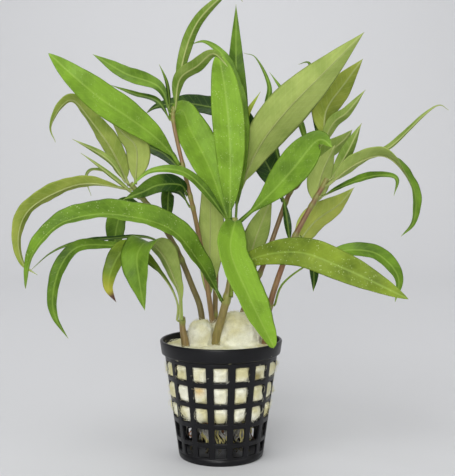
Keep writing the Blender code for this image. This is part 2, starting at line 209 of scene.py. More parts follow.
FLOOR_FRONT, FLOOR_BACK, SWEEP, WALL_TOP, HALF_WIDTH = -1.5, 0.7, 0.5, 2.2, 2.5
sweep_mesh = bpy.data.meshes.new("pale paper sweep")
bm = bmesh.new()
edge = [(FLOOR_FRONT, 0.0)]
for step in range(13):
    angle = math.radians(90 * step / 12)
    edge.append((FLOOR_BACK + SWEEP * math.sin(angle), SWEEP - SWEEP * math.cos(angle)))
edge.append((FLOOR_BACK + SWEEP, WALL_TOP))
rows = [[bm.verts.new((x, y, z)) for x in (-HALF_WIDTH, HALF_WIDTH)] for y, z in edge]
for low, high in zip(rows, rows[1:]):
    bm.faces.new((low[0], low[1], high[1], high[0])).smooth = True
bm.to_mesh(sweep_mesh)
bm.free()
sweep = plain_object("sweep", sweep_mesh)
paper, tree = new_material("matt pale grey paper")
shade(tree, Base_Color=colour("#D3D4D7"), Roughness=0.95)
sweep_mesh.materials.append(paper)

for name, spot, aim, size, power in (
        ("key light", (-0.35, -0.6, 1.0), (0, 0, 0.1), 0.7, 5.8),
        ("front light", (-0.15, -1.2, 0.42), (0, 0, 0.1), 0.4, 6.8),
        ("side light", (0.9, -0.5, 0.6), (0, 0, 0.1), 0.8, 2.0),
        ("backdrop light", (0, 0.5, 1.3), (0, 1.2, 0.6), 0.8, 7.0)):
    lamp = bpy.data.lights.new(name, "AREA")
    lamp.size = size
    lamp.energy = power
    lamp_object = bpy.data.objects.new(name, lamp)
    lamp_object.location = spot
    lamp_object.rotation_euler = (Vector(aim) - Vector(spot)).to_track_quat("-Z", "Y").to_euler()
    scene.collection.objects.link(lamp_object)

world = bpy.data.worlds.new("soft room light")
scene.world = world
world.use_nodes = True
world.node_tree.nodes["Background"].inputs["Color"].default_value = colour("#ECEBE8")
world.node_tree.nodes["Background"].inputs["Strength"].default_value = 0.37

# %% [markdown]
# ## Black moulded plastic
#
# The pot is injection-moulded polypropylene, coloured with carbon black. The eye sees a
# near-black with a faint blue cast, and a broad soft highlight on the rim, because the
# mould was lightly textured. The dimples are about half a millimetre apart, and faint
# upright flow lines are a few millimetres apart.

# %% Pot plastic
pot_plastic, tree = new_material("moulded black polypropylene")
at = add(tree, "ShaderNodeTexCoord").outputs["Object"]
dimples = add(tree, "ShaderNodeTexNoise", {"Vector": at, "Scale": 1 / (0.5 * MM), "Detail": 2.0})
stretched = add(tree, "ShaderNodeMapping", {"Vector": at, "Scale": (1.0, 1.0, 0.08)})
flow = add(tree, "ShaderNodeTexNoise", {"Vector": stretched, "Scale": 1 / (3 * MM), "Detail": 3.0})
black = add(tree, "ShaderNodeValToRGB", {0: flow}, stops=[(0, "#060608"), (1, "#0F0F14")])
dull = add(tree, "ShaderNodeMapRange", {"Value": flow, "To Min": 0.3, "To Max": 0.42})
both = add(tree, "ShaderNodeMath", {0: flow, 1: 2.0, 2: dimples}, operation="MULTIPLY_ADD")
relief = add(tree, "ShaderNodeBump", {"Strength": 0.25, "Distance": 0.05 * MM, "Height": both})
shade(tree, Base_Color=black, Roughness=dull, Normal=relief, IOR=1.49, Specular_IOR_Level=0.3)

# %% [markdown]
# ## The net pot
#
# The wall is a lattice that repeats sixteen times round the pot, so only one stave of it is
# drawn: a flat grid with its five windows left out. A geometry tree sets sixteen copies of
# it round the axis and welds them into a ring. Solidify then gives the wall its thickness
# and Subdivision Surface rounds the corners of the windows, as a mould does. A Boolean cut
# would also work, but it leaves sharp corners that are hard to round.

# %% Pot sizes
POT_HEIGHT, RIM_RADIUS, RIM_WALL, RIM_BAND = 53.0, 27.5, 1.3, 6.5
BODY_TOP_RADIUS, BASE_RADIUS, POT_WALL, FLOOR_THICKNESS = 25.4, 19.0, 1.1, 1.2
COLUMNS, WINDOW_SHARE = 16, 0.65
WINDOW_ROWS = [(4.0, 8.4), (10.6, 16.9), (19.4, 26.1), (28.4, 35.5), (38.0, 44.4)]
BAND_BOTTOM = POT_HEIGHT - RIM_BAND
BAND_FOOT_RADIUS = 26.8
CORNER = 0.45


def wall_radius(height):
    """Outer radius of the tapered wall at a height, in millimetres."""
    return BASE_RADIUS + (BODY_TOP_RADIUS - BASE_RADIUS) * min(height / BAND_BOTTOM, 1.0)


def stave_mesh():
    """One sixteenth of the wall's middle surface, centred on +X, with its windows open."""
    turn = 2 * math.pi / COLUMNS
    half_gap = turn * WINDOW_SHARE / 2
    nudge = CORNER / wall_radius(25)
    sides = [half_gap - nudge, half_gap, half_gap + nudge]
    angles = sorted([-turn / 2, turn / 2, *sides, *[-a for a in sides]])
    heights = {2.4, BAND_BOTTOM + 1.0}
    for bottom, top in WINDOW_ROWS:
        heights.update((bottom - CORNER, bottom, bottom + CORNER, top - CORNER, top, top + CORNER))
    heights = sorted(heights)
    mesh = bpy.data.meshes.new("stave")
    bm = bmesh.new()
    grid = []
    for height in heights:
        radius = wall_radius(height) - POT_WALL / 2
        grid.append([bm.verts.new((radius * math.cos(a) * MM, radius * math.sin(a) * MM, height * MM))
                     for a in angles])
    for row, (low, high) in enumerate(zip(heights, heights[1:])):
        middle = (low + high) / 2
        open_row = any(bottom < middle < top for bottom, top in WINDOW_ROWS)
        for column, (left, right) in enumerate(zip(angles, angles[1:])):
            if not (open_row and abs(left + right) / 2 < half_gap):
                bm.faces.new((grid[row][column], grid[row][column + 1],
                              grid[row + 1][column + 1], grid[row + 1][column]))
    for loose in [v for v in bm.verts if not v.link_faces]:
        bm.verts.remove(loose)
    bm.to_mesh(mesh)
    bm.free()
    return mesh


stave = stave_mesh()
print("faces in one stave:", len(stave.polygons))

# %% Ring of staves
ring, given = new_tree("ring of staves", {"Staves": COLUMNS, "First Angle": math.pi / COLUMNS,
                                          "Plastic": pot_plastic})
places = add(ring, "GeometryNodeMeshCircle", {"Vertices": given["Staves"], "Radius": 0.0})
number = add(ring, "GeometryNodeInputIndex")
share = add(ring, "ShaderNodeMath", {0: number, 1: given["Staves"]}, operation="DIVIDE")
angle = add(ring, "ShaderNodeMath", {0: share, 1: 2 * math.pi, 2: given["First Angle"]},
            operation="MULTIPLY_ADD")
turned_by = add(ring, "ShaderNodeCombineXYZ", {"Z": angle})
copies = add(ring, "GeometryNodeInstanceOnPoints",
             {"Points": places, "Instance": given["Geometry"], "Rotation": turned_by})
real = add(ring, "GeometryNodeRealizeInstances", {0: copies})
welded = add(ring, "GeometryNodeMergeByDistance", {0: real, "Distance": 0.02 * MM})
coated = add(ring, "GeometryNodeSetMaterial", {0: welded, "Material": given["Plastic"]})
add(ring, "NodeGroupOutput", {0: coated})


def turned(name, profile, facets=128):
    """Closed solid of revolution from a profile of (radius, height) in millimetres."""
    mesh = bpy.data.meshes.new(name)
    bm = bmesh.new()
    corners = [bm.verts.new((radius * MM, 0, height * MM)) for radius, height in profile]
    edges = [bm.edges.new(pair) for pair in zip(corners, corners[1:])]
    bmesh.ops.spin(bm, geom=corners + edges, axis=(0, 0, 1), cent=(0, 0, 0),
                   angle=2 * math.pi, steps=facets, use_duplicate=False)
    bmesh.ops.remove_doubles(bm, verts=bm.verts, dist=0.001 * MM)
    bmesh.ops.recalc_face_normals(bm, faces=bm.faces)
    for face in bm.faces:
        face.smooth = True
    bm.to_mesh(mesh)
    bm.free()
    return mesh


wall = grow("pot_wall", stave, ring, first_angle=-math.pi / 2)
for kind, settings in (("SOLIDIFY", {"thickness": POT_WALL * MM, "offset": 0.0, "use_even_offset": True}),
                       ("SUBSURF", {"levels": 1, "render_levels": 1})):
    modifier = wall.modifiers.new(kind.lower(), kind)
    for label, value in settings.items():
        setattr(modifier, label, value)
apply_all(wall)
wall.data.shade_smooth()
print("pot wall:", len(wall.data.polygons), "faces")

# %% [markdown]
# The rim is a deep band that narrows a little to a step, and the foot is a plain skirt with a
# closed floor. Both are turned from a profile, like a bowl on a lathe. Points close to each
# corner of the profile keep the edge crisp but not knife-sharp, so that it catches light.

# %% Rim and foot
step = RIM_RADIUS - BODY_TOP_RADIUS
inner = RIM_RADIUS - RIM_WALL
rim_profile = [
    (inner + 0.1, POT_HEIGHT - 0.25), (inner + 0.3, POT_HEIGHT - 0.05), (inner + 0.45, POT_HEIGHT),
    (RIM_RADIUS - 0.55, POT_HEIGHT), (RIM_RADIUS - 0.3, POT_HEIGHT - 0.08),
    (RIM_RADIUS - 0.08, POT_HEIGHT - 0.35), (RIM_RADIUS, POT_HEIGHT - 0.7),
    (BAND_FOOT_RADIUS + 0.02, BAND_BOTTOM + 0.95), (BAND_FOOT_RADIUS - 0.08, BAND_BOTTOM + 0.62),
    (BAND_FOOT_RADIUS - 0.35, BAND_BOTTOM + 0.42), (BODY_TOP_RADIUS + 0.25, BAND_BOTTOM + 0.1),
    (BODY_TOP_RADIUS, BAND_BOTTOM - 0.15), (BODY_TOP_RADIUS - 0.2, BAND_BOTTOM - 0.35),
    (BODY_TOP_RADIUS - POT_WALL - 0.1, BAND_BOTTOM - 0.3), (BODY_TOP_RADIUS - POT_WALL, BAND_BOTTOM + 0.2),
    (inner, BAND_BOTTOM + step + 0.6), (inner, POT_HEIGHT - 0.7), (inner + 0.1, POT_HEIGHT - 0.25),
]
foot_top = 3.2
foot_profile = [
    (0.0, FLOOR_THICKNESS), (wall_radius(FLOOR_THICKNESS) - POT_WALL - 0.4, FLOOR_THICKNESS),
    (wall_radius(2.0) - POT_WALL, 1.8), (wall_radius(foot_top) - POT_WALL, foot_top),
    (wall_radius(foot_top), foot_top), (wall_radius(1.4), 1.4), (BASE_RADIUS + 0.02, 0.7),
    (BASE_RADIUS - 0.12, 0.3), (BASE_RADIUS - 0.4, 0.08), (BASE_RADIUS - 0.7, 0.0), (0.0, 0.0),
]
rim = plain_object("pot_rim", turned("pot_rim", rim_profile))
foot = plain_object("pot_foot", turned("pot_foot", foot_profile))
for obj in (rim, foot):
    obj.data.materials.append(pot_plastic)
for obj in (rim, foot, wall):
    finish_piece(obj, "pot", "pot")
    print(obj.name, "faces:", len(obj.data.polygons))

# %% [markdown]
# ## Mineral wool
#
# Mineral wool is spun rock: a felt of fine, cream-white fibres with no gloss at all. It
# fills the pot, bulges a little through the windows, and two lumps of it stand above the
# rim. The felt is one remeshed body, pushed out where a window is and roughened by noise.
# A geometry tree then scatters loose fibres over it. Real fibres are far too fine to show,
# so they are drawn about a tenth of a millimetre thick.

# %% Wool material
wool_felt, tree = new_material("cream mineral wool felt")
at = add(tree, "ShaderNodeTexCoord").outputs["Object"]
tufts = add(tree, "ShaderNodeTexNoise", {"Vector": at, "Scale": 1 / (0.6 * MM), "Detail": 5.0,
                                         "Roughness": 0.7})
clouds = add(tree, "ShaderNodeTexNoise", {"Vector": at, "Scale": 1 / (9 * MM), "Detail": 2.0})
cream = add(tree, "ShaderNodeValToRGB", {0: clouds}, stops=[(0, "#D6D0A2"), (1, "#F0EFDC")])
cream.color_ramp.elements[0].position = 0.35
cream.color_ramp.elements[1].position = 0.62
# Painted shade and light: the fine tuft noise darkens the cream between the tufts and lightens it on them
shadowed = add(tree, "ShaderNodeMapRange", {"Value": tufts, "From Min": 0.3, "From Max": 0.7,
                                            "To Min": 0.88, "To Max": 1.08})
felt_colour_with_painted_shade = add(tree, "ShaderNodeMix", {"Factor": 1.0, "A": cream, "B": shadowed},
                  data_type="RGBA", blend_type="MULTIPLY")
stained_and_shaded = felt_colour_with_painted_shade
for spot, reach, tint in (((-10.2, -23.5, 34.6), 5.8, "#C9A02C"), ((15.9, -19.4, 39.2), 4.6, "#8F8246")):
    away = add(tree, "ShaderNodeVectorMath", {0: at, 1: tuple(v * MM for v in spot)}, operation="DISTANCE")
    frayed = add(tree, "ShaderNodeMath", {0: tufts, 1: 2.2 * MM, 2: away.outputs["Value"]},
                 operation="MULTIPLY_ADD")
    stain = add(tree, "ShaderNodeMapRange", {"Value": frayed, "From Min": 2.4 * MM,
                                             "From Max": reach * MM, "To Min": 0.85, "To Max": 0.0})
    stained_and_shaded = add(tree, "ShaderNodeMix", {"Factor": stain, "A": stained_and_shaded, "B": colour(tint)},
                  data_type="RGBA")
felt_relief = add(tree, "ShaderNodeBump", {"Strength": 0.4, "Distance": 0.4 * MM, "Height": tufts})
shade(tree, Base_Color=stained_and_shaded, Roughness=1.0, Specular_IOR_Level=0.1, Normal=felt_relief)

# %% [markdown]
# The body of the wool is a turned plug with two balls set into its top. A voxel remesh
# melts the three into one skin, which no Boolean would round so softly. Each vertex then
# learns how far it lies inside a window, from 0 at a rib to 1 in the middle.

# %% Wool body
WOOL_BOTTOM, WOOL_TOP, GAP = 19.0, 51.0, 0.3
WOOL_MOUNDS = [((-9, -2, 55), (6.4, 6.5, 7.5)), ((7, 3, 54), (12.0, 10.0, 11.0))]
inset = POT_WALL + GAP
top_radius = RIM_RADIUS - RIM_WALL - GAP
plug_profile = [
    (0.0, WOOL_TOP), (top_radius - 4.0, WOOL_TOP), (top_radius - 0.6, WOOL_TOP - 1.3),
    (top_radius - 0.3, WOOL_TOP - 3.0), (BODY_TOP_RADIUS - inset, BAND_BOTTOM),
    (wall_radius(22) - inset, 22.0), (wall_radius(WOOL_BOTTOM) - inset - 3.0, WOOL_BOTTOM),
    (0.0, WOOL_BOTTOM),
]
plug = turned("wool", plug_profile, 96)
bm = bmesh.new()
bm.from_mesh(plug)
for centre, radii in WOOL_MOUNDS:
    shape = Matrix.Translation(Vector(centre) * MM) @ Matrix.Diagonal((*[r * MM for r in radii], 1.0))
    bmesh.ops.create_uvsphere(bm, u_segments=48, v_segments=24, radius=1.0, matrix=shape)
bm.to_mesh(plug)
bm.free()
wool = plain_object("wool", plug)
melt = wool.modifiers.new("melt", "REMESH")
melt.mode = "VOXEL"
melt.voxel_size = 0.7 * MM
apply_all(wool)


EDGE_RISE = 4.0


def window_depth(place):
    """0 on a rib to 1 in the middle of a window, for a point on the wall."""
    angle = (math.degrees(math.atan2(place.y, place.x)) + 90) % (360 / COLUMNS)
    pitch = 360 / COLUMNS
    across = min(angle, pitch - angle) / (pitch * WINDOW_SHARE / 2)
    height = place.z / MM
    for bottom, top in WINDOW_ROWS:
        if bottom < height < top and across < 1:
            along = abs(height - (bottom + top) / 2) / ((top - bottom) / 2)
            return min(1.0, EDGE_RISE * (1 - across), EDGE_RISE * (1 - along))
    return 0.0


bulge = wool.data.attributes.new("bulge", "FLOAT", "POINT")
bulge.data.foreach_set("value", [window_depth(v.co) for v in wool.data.vertices])
print("wool body:", len(wool.data.polygons), "faces")

# %% Fibres of the wool
felt, given = new_tree("wool felt", {"Window Bulge": 1.8 * MM, "Lump Size": 5 * MM,
                                     "Lump Height": 4.0 * MM, "Fibres Per Area": 0.35e6,
                                     "Fibre Length": 3.4 * MM, "Fibre Radius": 0.05 * MM,
                                     "Seed": 7, "Felt": wool_felt})
normal = add(felt, "GeometryNodeInputNormal")
depth = add(felt, "GeometryNodeInputNamedAttribute", {"Name": "bulge"}, data_type="FLOAT")
pushed = add(felt, "ShaderNodeMath", {0: depth, 1: given["Window Bulge"]}, operation="MULTIPLY")
lump_scale = add(felt, "ShaderNodeMath", {0: 1.0, 1: given["Lump Size"]}, operation="DIVIDE")
lumps = add(felt, "ShaderNodeTexNoise", {"Scale": lump_scale, "Detail": 5.0, "Roughness": 0.62})
centred = add(felt, "ShaderNodeMath", {0: lumps, 1: 0.55}, operation="SUBTRACT")
total = add(felt, "ShaderNodeMath", {0: centred, 1: given["Lump Height"], 2: pushed},
            operation="MULTIPLY_ADD")
outward = add(felt, "ShaderNodeVectorMath", {0: normal, "Scale": total}, operation="SCALE")
body = add(felt, "GeometryNodeSetPosition", {0: given["Geometry"], "Offset": outward})
spots = add(felt, "GeometryNodeDistributePointsOnFaces",
            {"Mesh": body, "Density": given["Fibres Per Area"], "Seed": given["Seed"]})
half = add(felt, "ShaderNodeMath", {0: given["Fibre Length"], 1: 0.5}, operation="MULTIPLY")
minus = add(felt, "ShaderNodeMath", {0: half, 1: -1.0}, operation="MULTIPLY")
arch = add(felt, "ShaderNodeMath", {0: half, 1: 0.55}, operation="MULTIPLY")
strand = add(felt, "GeometryNodeCurveQuadraticBezier",
             {"Resolution": 5, "Start": add(felt, "ShaderNodeCombineXYZ", {"X": minus}),
              "Middle": add(felt, "ShaderNodeCombineXYZ", {"Y": half, "Z": arch}),
              "End": add(felt, "ShaderNodeCombineXYZ", {"X": half})})
thin = add(felt, "GeometryNodeCurvePrimitiveCircle", {"Resolution": 3, "Radius": given["Fibre Radius"]})
fibre = add(felt, "GeometryNodeCurveToMesh", {"Curve": strand, "Profile Curve": thin, "Fill Caps": True})
spin = add(felt, "FunctionNodeRandomValue", {"Max": (0.5, 0.5, 6.283), "Min": (-0.5, -0.5, 0.0),
                                             "Seed": given["Seed"]}, data_type="FLOAT_VECTOR")
twisted = add(felt, "FunctionNodeRotateRotation",
              {"Rotation": spots.outputs["Rotation"], "Rotate By": spin}, rotation_space="LOCAL")
growth = add(felt, "FunctionNodeRandomValue", {"Min": 0.5, "Max": 1.3, "Seed": 11}, data_type="FLOAT")
scattered = add(felt, "GeometryNodeInstanceOnPoints",
                {"Points": spots.outputs["Points"], "Instance": fibre, "Rotation": twisted,
                 "Scale": growth})
smooth = add(felt, "GeometryNodeSetShadeSmooth", {0: body})
joined = add(felt, "GeometryNodeJoinGeometry", {0: [smooth, scattered]})
real = add(felt, "GeometryNodeRealizeInstances", {0: joined})
add(felt, "NodeGroupOutput", {0: add(felt, "GeometryNodeSetMaterial",
                                     {0: real, "Material": given["Felt"]})})

felt_mesh = wool.data
bpy.data.objects.remove(wool)
wool = grow("wool_plug", felt_mesh, felt)
finish_piece(wool, "wool", "wool")
print("wool with fibres:", len(wool.data.polygons), "faces")

# %% [markdown]
# ## Roots
#
# Below the wool hang matted roots with shreds of old growing medium, which show through the
# two lowest rows of windows as patches of grey, cream, olive and brown. Further down their
# colour is painted near black, a painted shade for the dark bottom of the pot.
# The tree drops a straight line from each point of a disc, cuts it into short spans, sways
# it with noise that grows towards the tip, and gives it a round section.

# %% Roots
root_skin, tree = new_material("matted roots and shreds")
at = add(tree, "ShaderNodeTexCoord").outputs["Object"]
shreds = add(tree, "ShaderNodeTexVoronoi", {"Vector": at, "Scale": 1 / (6 * MM), "Randomness": 1.0})
pick = add(tree, "ShaderNodeSeparateXYZ", {0: shreds.outputs["Color"]})
shred = add(tree, "ShaderNodeValToRGB", {0: pick.outputs["X"]},
            stops=[(0, "#A5A39C"), (0.3, "#F0DFC6"), (0.5, "#5E5B56"), (0.7, "#BDB47A"), (1, "#A97650")])
shred.color_ramp.interpolation = "CONSTANT"
height = add(tree, "ShaderNodeSeparateXYZ", {0: at}).outputs["Z"]
# Painted shade: below about ten millimetres the colour is mixed towards near black
depth = add(tree, "ShaderNodeMapRange", {"Value": height, "From Min": 7 * MM, "From Max": 10 * MM,
                                         "To Min": 0.85, "To Max": 0.0})
dark = add(tree, "ShaderNodeMix", {"Factor": depth, "A": shred, "B": colour("#16130F")}, data_type="RGBA")
shade(tree, Base_Color=dark, Roughness=0.8, Specular_IOR_Level=0.2)

tuft, given = new_tree("root tuft", {"Roots Per Area": 0.5e6, "Length": 16.5 * MM, "Sway": 7.0 * MM,
                                     "Root Radius": 0.5 * MM, "Seed": 3, "Skin": root_skin})
spots = add(tuft, "GeometryNodeDistributePointsOnFaces",
            {"Mesh": given["Geometry"], "Density": given["Roots Per Area"], "Seed": given["Seed"]})
down = add(tuft, "ShaderNodeMath", {0: given["Length"], 1: -1.0}, operation="MULTIPLY")
line = add(tuft, "GeometryNodeCurvePrimitiveLine", {"End": add(tuft, "ShaderNodeCombineXYZ", {"Z": down})})
lengths = add(tuft, "FunctionNodeRandomValue", {"Min": 0.35, "Max": 1.0, "Seed": 5}, data_type="FLOAT")
drops = add(tuft, "GeometryNodeInstanceOnPoints",
            {"Points": spots.outputs["Points"], "Instance": line, "Scale": lengths})
cut = add(tuft, "GeometryNodeResampleCurve",
          {"Curve": add(tuft, "GeometryNodeRealizeInstances", {0: drops}), "Count": 14})
wobble = add(tuft, "ShaderNodeTexNoise", {"Scale": 1 / (6 * MM), "Detail": 1.0})
aside = add(tuft, "ShaderNodeVectorMath", {0: wobble.outputs["Color"], 1: (0.5, 0.5, 0.5)},
            operation="SUBTRACT")
flat = add(tuft, "ShaderNodeVectorMath", {0: aside, 1: (2.0, 2.0, 0.0)}, operation="MULTIPLY")
along = add(tuft, "GeometryNodeSplineParameter")
sway = add(tuft, "ShaderNodeMath", {0: along, 1: given["Sway"]}, operation="MULTIPLY")
moved = add(tuft, "ShaderNodeVectorMath", {0: flat, "Scale": sway}, operation="SCALE")
swung = add(tuft, "GeometryNodeSetPosition", {0: cut, "Offset": moved})
taper = add(tuft, "ShaderNodeMapRange", {"Value": along, "To Min": 1.0, "To Max": 0.4})
girth = add(tuft, "ShaderNodeMath", {0: taper, 1: given["Root Radius"]}, operation="MULTIPLY")
round_section = add(tuft, "GeometryNodeCurvePrimitiveCircle", {"Resolution": 6, "Radius": 1.0})
rods = add(tuft, "GeometryNodeCurveToMesh", {"Curve": swung, "Profile Curve": round_section,
                                             "Scale": girth, "Fill Caps": True})
soft = add(tuft, "GeometryNodeSetShadeSmooth", {0: rods})
add(tuft, "NodeGroupOutput", {0: add(tuft, "GeometryNodeSetMaterial",
                                     {0: add(tuft, "GeometryNodeRealizeInstances", {0: soft}),
                                      "Material": given["Skin"]})})

disc = bpy.data.meshes.new("root disc")
bm = bmesh.new()
bmesh.ops.create_circle(bm, cap_ends=True, segments=24, radius=14.5 * MM,
                        matrix=Matrix.Translation((0, 0, (WOOL_BOTTOM + 0.5) * MM)))
bm.to_mesh(disc)
bm.free()
roots = grow("root_tuft", disc, tuft)
finish_piece(roots, "roots", "roots")
print("roots:", len(roots.data.polygons), "faces")

# %% [markdown]
# ## Paths
#
# Stems and leaves both follow a smooth path through a few points, in millimetres. A
# Catmull-Rom curve passes through each of its points, so what is listed is what is drawn.
# The path is then cut at even spacing.


# %% Path tools
def smooth_path(points, spacing):
    """Evenly spaced points along a Catmull-Rom curve, and their distance from its start."""
    ends = [points[0] * 2 - points[1], *points, points[-1] * 2 - points[-2]]
    dense = []
    for before, start, stop, after in zip(ends, ends[1:], ends[2:], ends[3:]):
        for sample in range(24):
            t = sample / 24
            pull = (stop - before) * t + (before * 2 - start * 5 + stop * 4 - after) * t ** 2
            bend = (start * 3 - before - stop * 3 + after) * t ** 3
            dense.append(start + (pull + bend) / 2)
    dense.append(points[-1])
    lengths = [0.0]
    for first, second in zip(dense, dense[1:]):
        lengths.append(lengths[-1] + (second - first).length)
    count = max(6, round(lengths[-1] / spacing))
    path, piece = [], 0
    for station in range(count + 1):
        wanted = lengths[-1] * station / count
        while piece < len(dense) - 2 and lengths[piece + 1] < wanted:
            piece += 1
        share = (wanted - lengths[piece]) / (lengths[piece + 1] - lengths[piece])
        path.append(dense[piece].lerp(dense[piece + 1], share))
    return path, [lengths[-1] * station / count for station in range(count + 1)]


def rail_mesh(name, path, attributes):
    """Chain of edges through the path that carries a value at each of its points."""
    mesh = bpy.data.meshes.new(name)
    mesh.from_pydata([p * MM for p in path], [(i, i + 1) for i in range(len(path) - 1)], [])
    for label, values in attributes.items():
        if isinstance(values[0], Vector):
            mesh.attributes.new(label, "FLOAT_VECTOR", "POINT").data.foreach_set(
                "vector", [c for v in values for c in v])
        else:
            mesh.attributes.new(label, "FLOAT", "POINT").data.foreach_set("value", values)
    return mesh


# %% [markdown]
# ## Stem skin
#
# The stems are soft and smooth, olive low down and flushed with red-brown higher up. Fine
# lengthwise streaks about half a millimetre wide run along them, and each joint where
# leaves grow is a little swollen and greener. The mesh carries how red, how dark and how
# close to a joint each point is, and the material reads that.

# %% Stem material
stem_skin, tree = new_material("red flushed stem skin")
at = add(tree, "ShaderNodeTexCoord").outputs["Object"]
look = add(tree, "ShaderNodeSeparateXYZ", {0: add(tree, "ShaderNodeAttribute", attribute_name="look").outputs["Vector"]})
knot = add(tree, "ShaderNodeAttribute", attribute_name="knot").outputs["Fac"]
drawn = add(tree, "ShaderNodeMapping", {"Vector": at, "Scale": (1.0, 1.0, 0.12)})
streaks = add(tree, "ShaderNodeTexNoise", {"Vector": drawn, "Scale": 1 / (0.8 * MM), "Detail": 3.0})
patches = add(tree, "ShaderNodeTexNoise", {"Vector": at, "Scale": 1 / (7 * MM), "Detail": 2.0})
redness = add(tree, "ShaderNodeMath", {0: patches, 1: 0.9, 2: look.outputs["X"]}, operation="MULTIPLY_ADD")
redness = add(tree, "ShaderNodeMath", {0: redness, 1: 0.45}, operation="SUBTRACT", use_clamp=True)
base = add(tree, "ShaderNodeMix", {"Factor": redness, "A": colour("#8A8648"), "B": colour("#8E6048")},
           data_type="RGBA")
base = add(tree, "ShaderNodeMix", {"Factor": look.outputs["Y"], "A": base, "B": colour("#54452A")},
           data_type="RGBA")
lines = add(tree, "ShaderNodeMapRange", {"Value": streaks, "From Min": 0.3, "From Max": 0.7,
                                         "To Min": 0.72, "To Max": 1.2})
base = add(tree, "ShaderNodeMix", {"Factor": 1.0, "A": base, "B": lines}, data_type="RGBA",
           blend_type="MULTIPLY")
base = add(tree, "ShaderNodeMix", {"Factor": add(tree, "ShaderNodeMath", {0: knot, 1: 0.6},
                                                 operation="MULTIPLY"),
                                   "A": base, "B": colour("#8A9A45")}, data_type="RGBA")
stem_relief = add(tree, "ShaderNodeBump", {"Strength": 0.3, "Distance": 0.1 * MM, "Height": streaks})
shade(tree, Base_Color=base, Roughness=0.42, Normal=stem_relief)

# %% [markdown]
# ## Stems
#
# Each stem is a round tube along its path. The path carries the radius, so that a joint can
# swell where a leaf starts, and the tree only has to sweep a circle along it.

# %% Stem tree
tube, given = new_tree("stem tube", {"Sides": 16, "Red": 0.5, "Dark": 0.0, "Skin": stem_skin})
curve = add(tube, "GeometryNodeMeshToCurve", {0: given["Geometry"]})
girth = add(tube, "GeometryNodeInputNamedAttribute", {"Name": "girth"}, data_type="FLOAT")
section = add(tube, "GeometryNodeCurvePrimitiveCircle", {"Resolution": given["Sides"], "Radius": 1.0})
rod = add(tube, "GeometryNodeCurveToMesh", {"Curve": curve, "Profile Curve": section, "Scale": girth,
                                            "Fill Caps": True})
marked = add(tube, "GeometryNodeStoreNamedAttribute",
             {0: rod, "Name": "look",
              "Value": add(tube, "ShaderNodeCombineXYZ", {"X": given["Red"], "Y": given["Dark"]})},
             data_type="FLOAT_VECTOR", domain="POINT")
soft = add(tube, "GeometryNodeSetShadeSmooth", {0: marked})
real = add(tube, "GeometryNodeRealizeInstances", {0: soft})
add(tube, "NodeGroupOutput", {0: add(tube, "GeometryNodeSetMaterial",
                                     {0: real, "Material": given["Skin"]})})

# %% [markdown]
# ## The table of stems
#
# Name, radius at the foot and at the top, how red and how dark it is, and its points.

# %% Stem table
STEMS = [
    ("stem_tall", (1.3, 0.8), (0.6, 0.0), [(-4, 9, 45), (-4, 8, 58), (-8, 6, 87), (-12, 3, 109),
     (-17, 0, 131), (-21, 0, 149), (-21, 0, 157)]),
    ("stem_left", (1.5, 1.0), (0.1, 0.65), [(-8, 0, 46), (-9, 0, 65), (-13, -1, 77), (-20, -3, 94),
     (-29, -4, 109), (-40, -5, 123)]),
    ("stem_centre", (2.1, 1.2), (0.25, 0.0), [(-3, -3, 44), (-2, -5, 55), (1, -7, 66), (4, -8, 79),
     (5, -8, 92), (6, -8, 108)]),
    ("stem_back", (1.3, 1.0), (0.4, 0.2), [(-4, 13, 44), (-3, 14, 61), (-2, 14, 92), (0, 14, 107),
     (8, 14, 122)]),
    ("stem_rear_right", (1.3, 1.0), (0.6, 0.35), [(8, 9, 46), (10, 10, 64), (19, 12, 84), (31, 14, 117),
     (36, 14, 123), (46, 14, 143)]),
    ("stem_right", (1.5, 1.0), (0.75, 0.1), [(18, -1, 44), (20, -2, 53), (22, -2, 69), (28, -3, 88),
     (32, -4, 98), (40, -4, 113), (47, -4, 125)]),
    ("stem_short", (2.2, 1.1), (0.45, 0.0), [(-15, -7, 44), (-16, -7, 53), (-17, -7, 59), (-17, -8, 64)]),
]
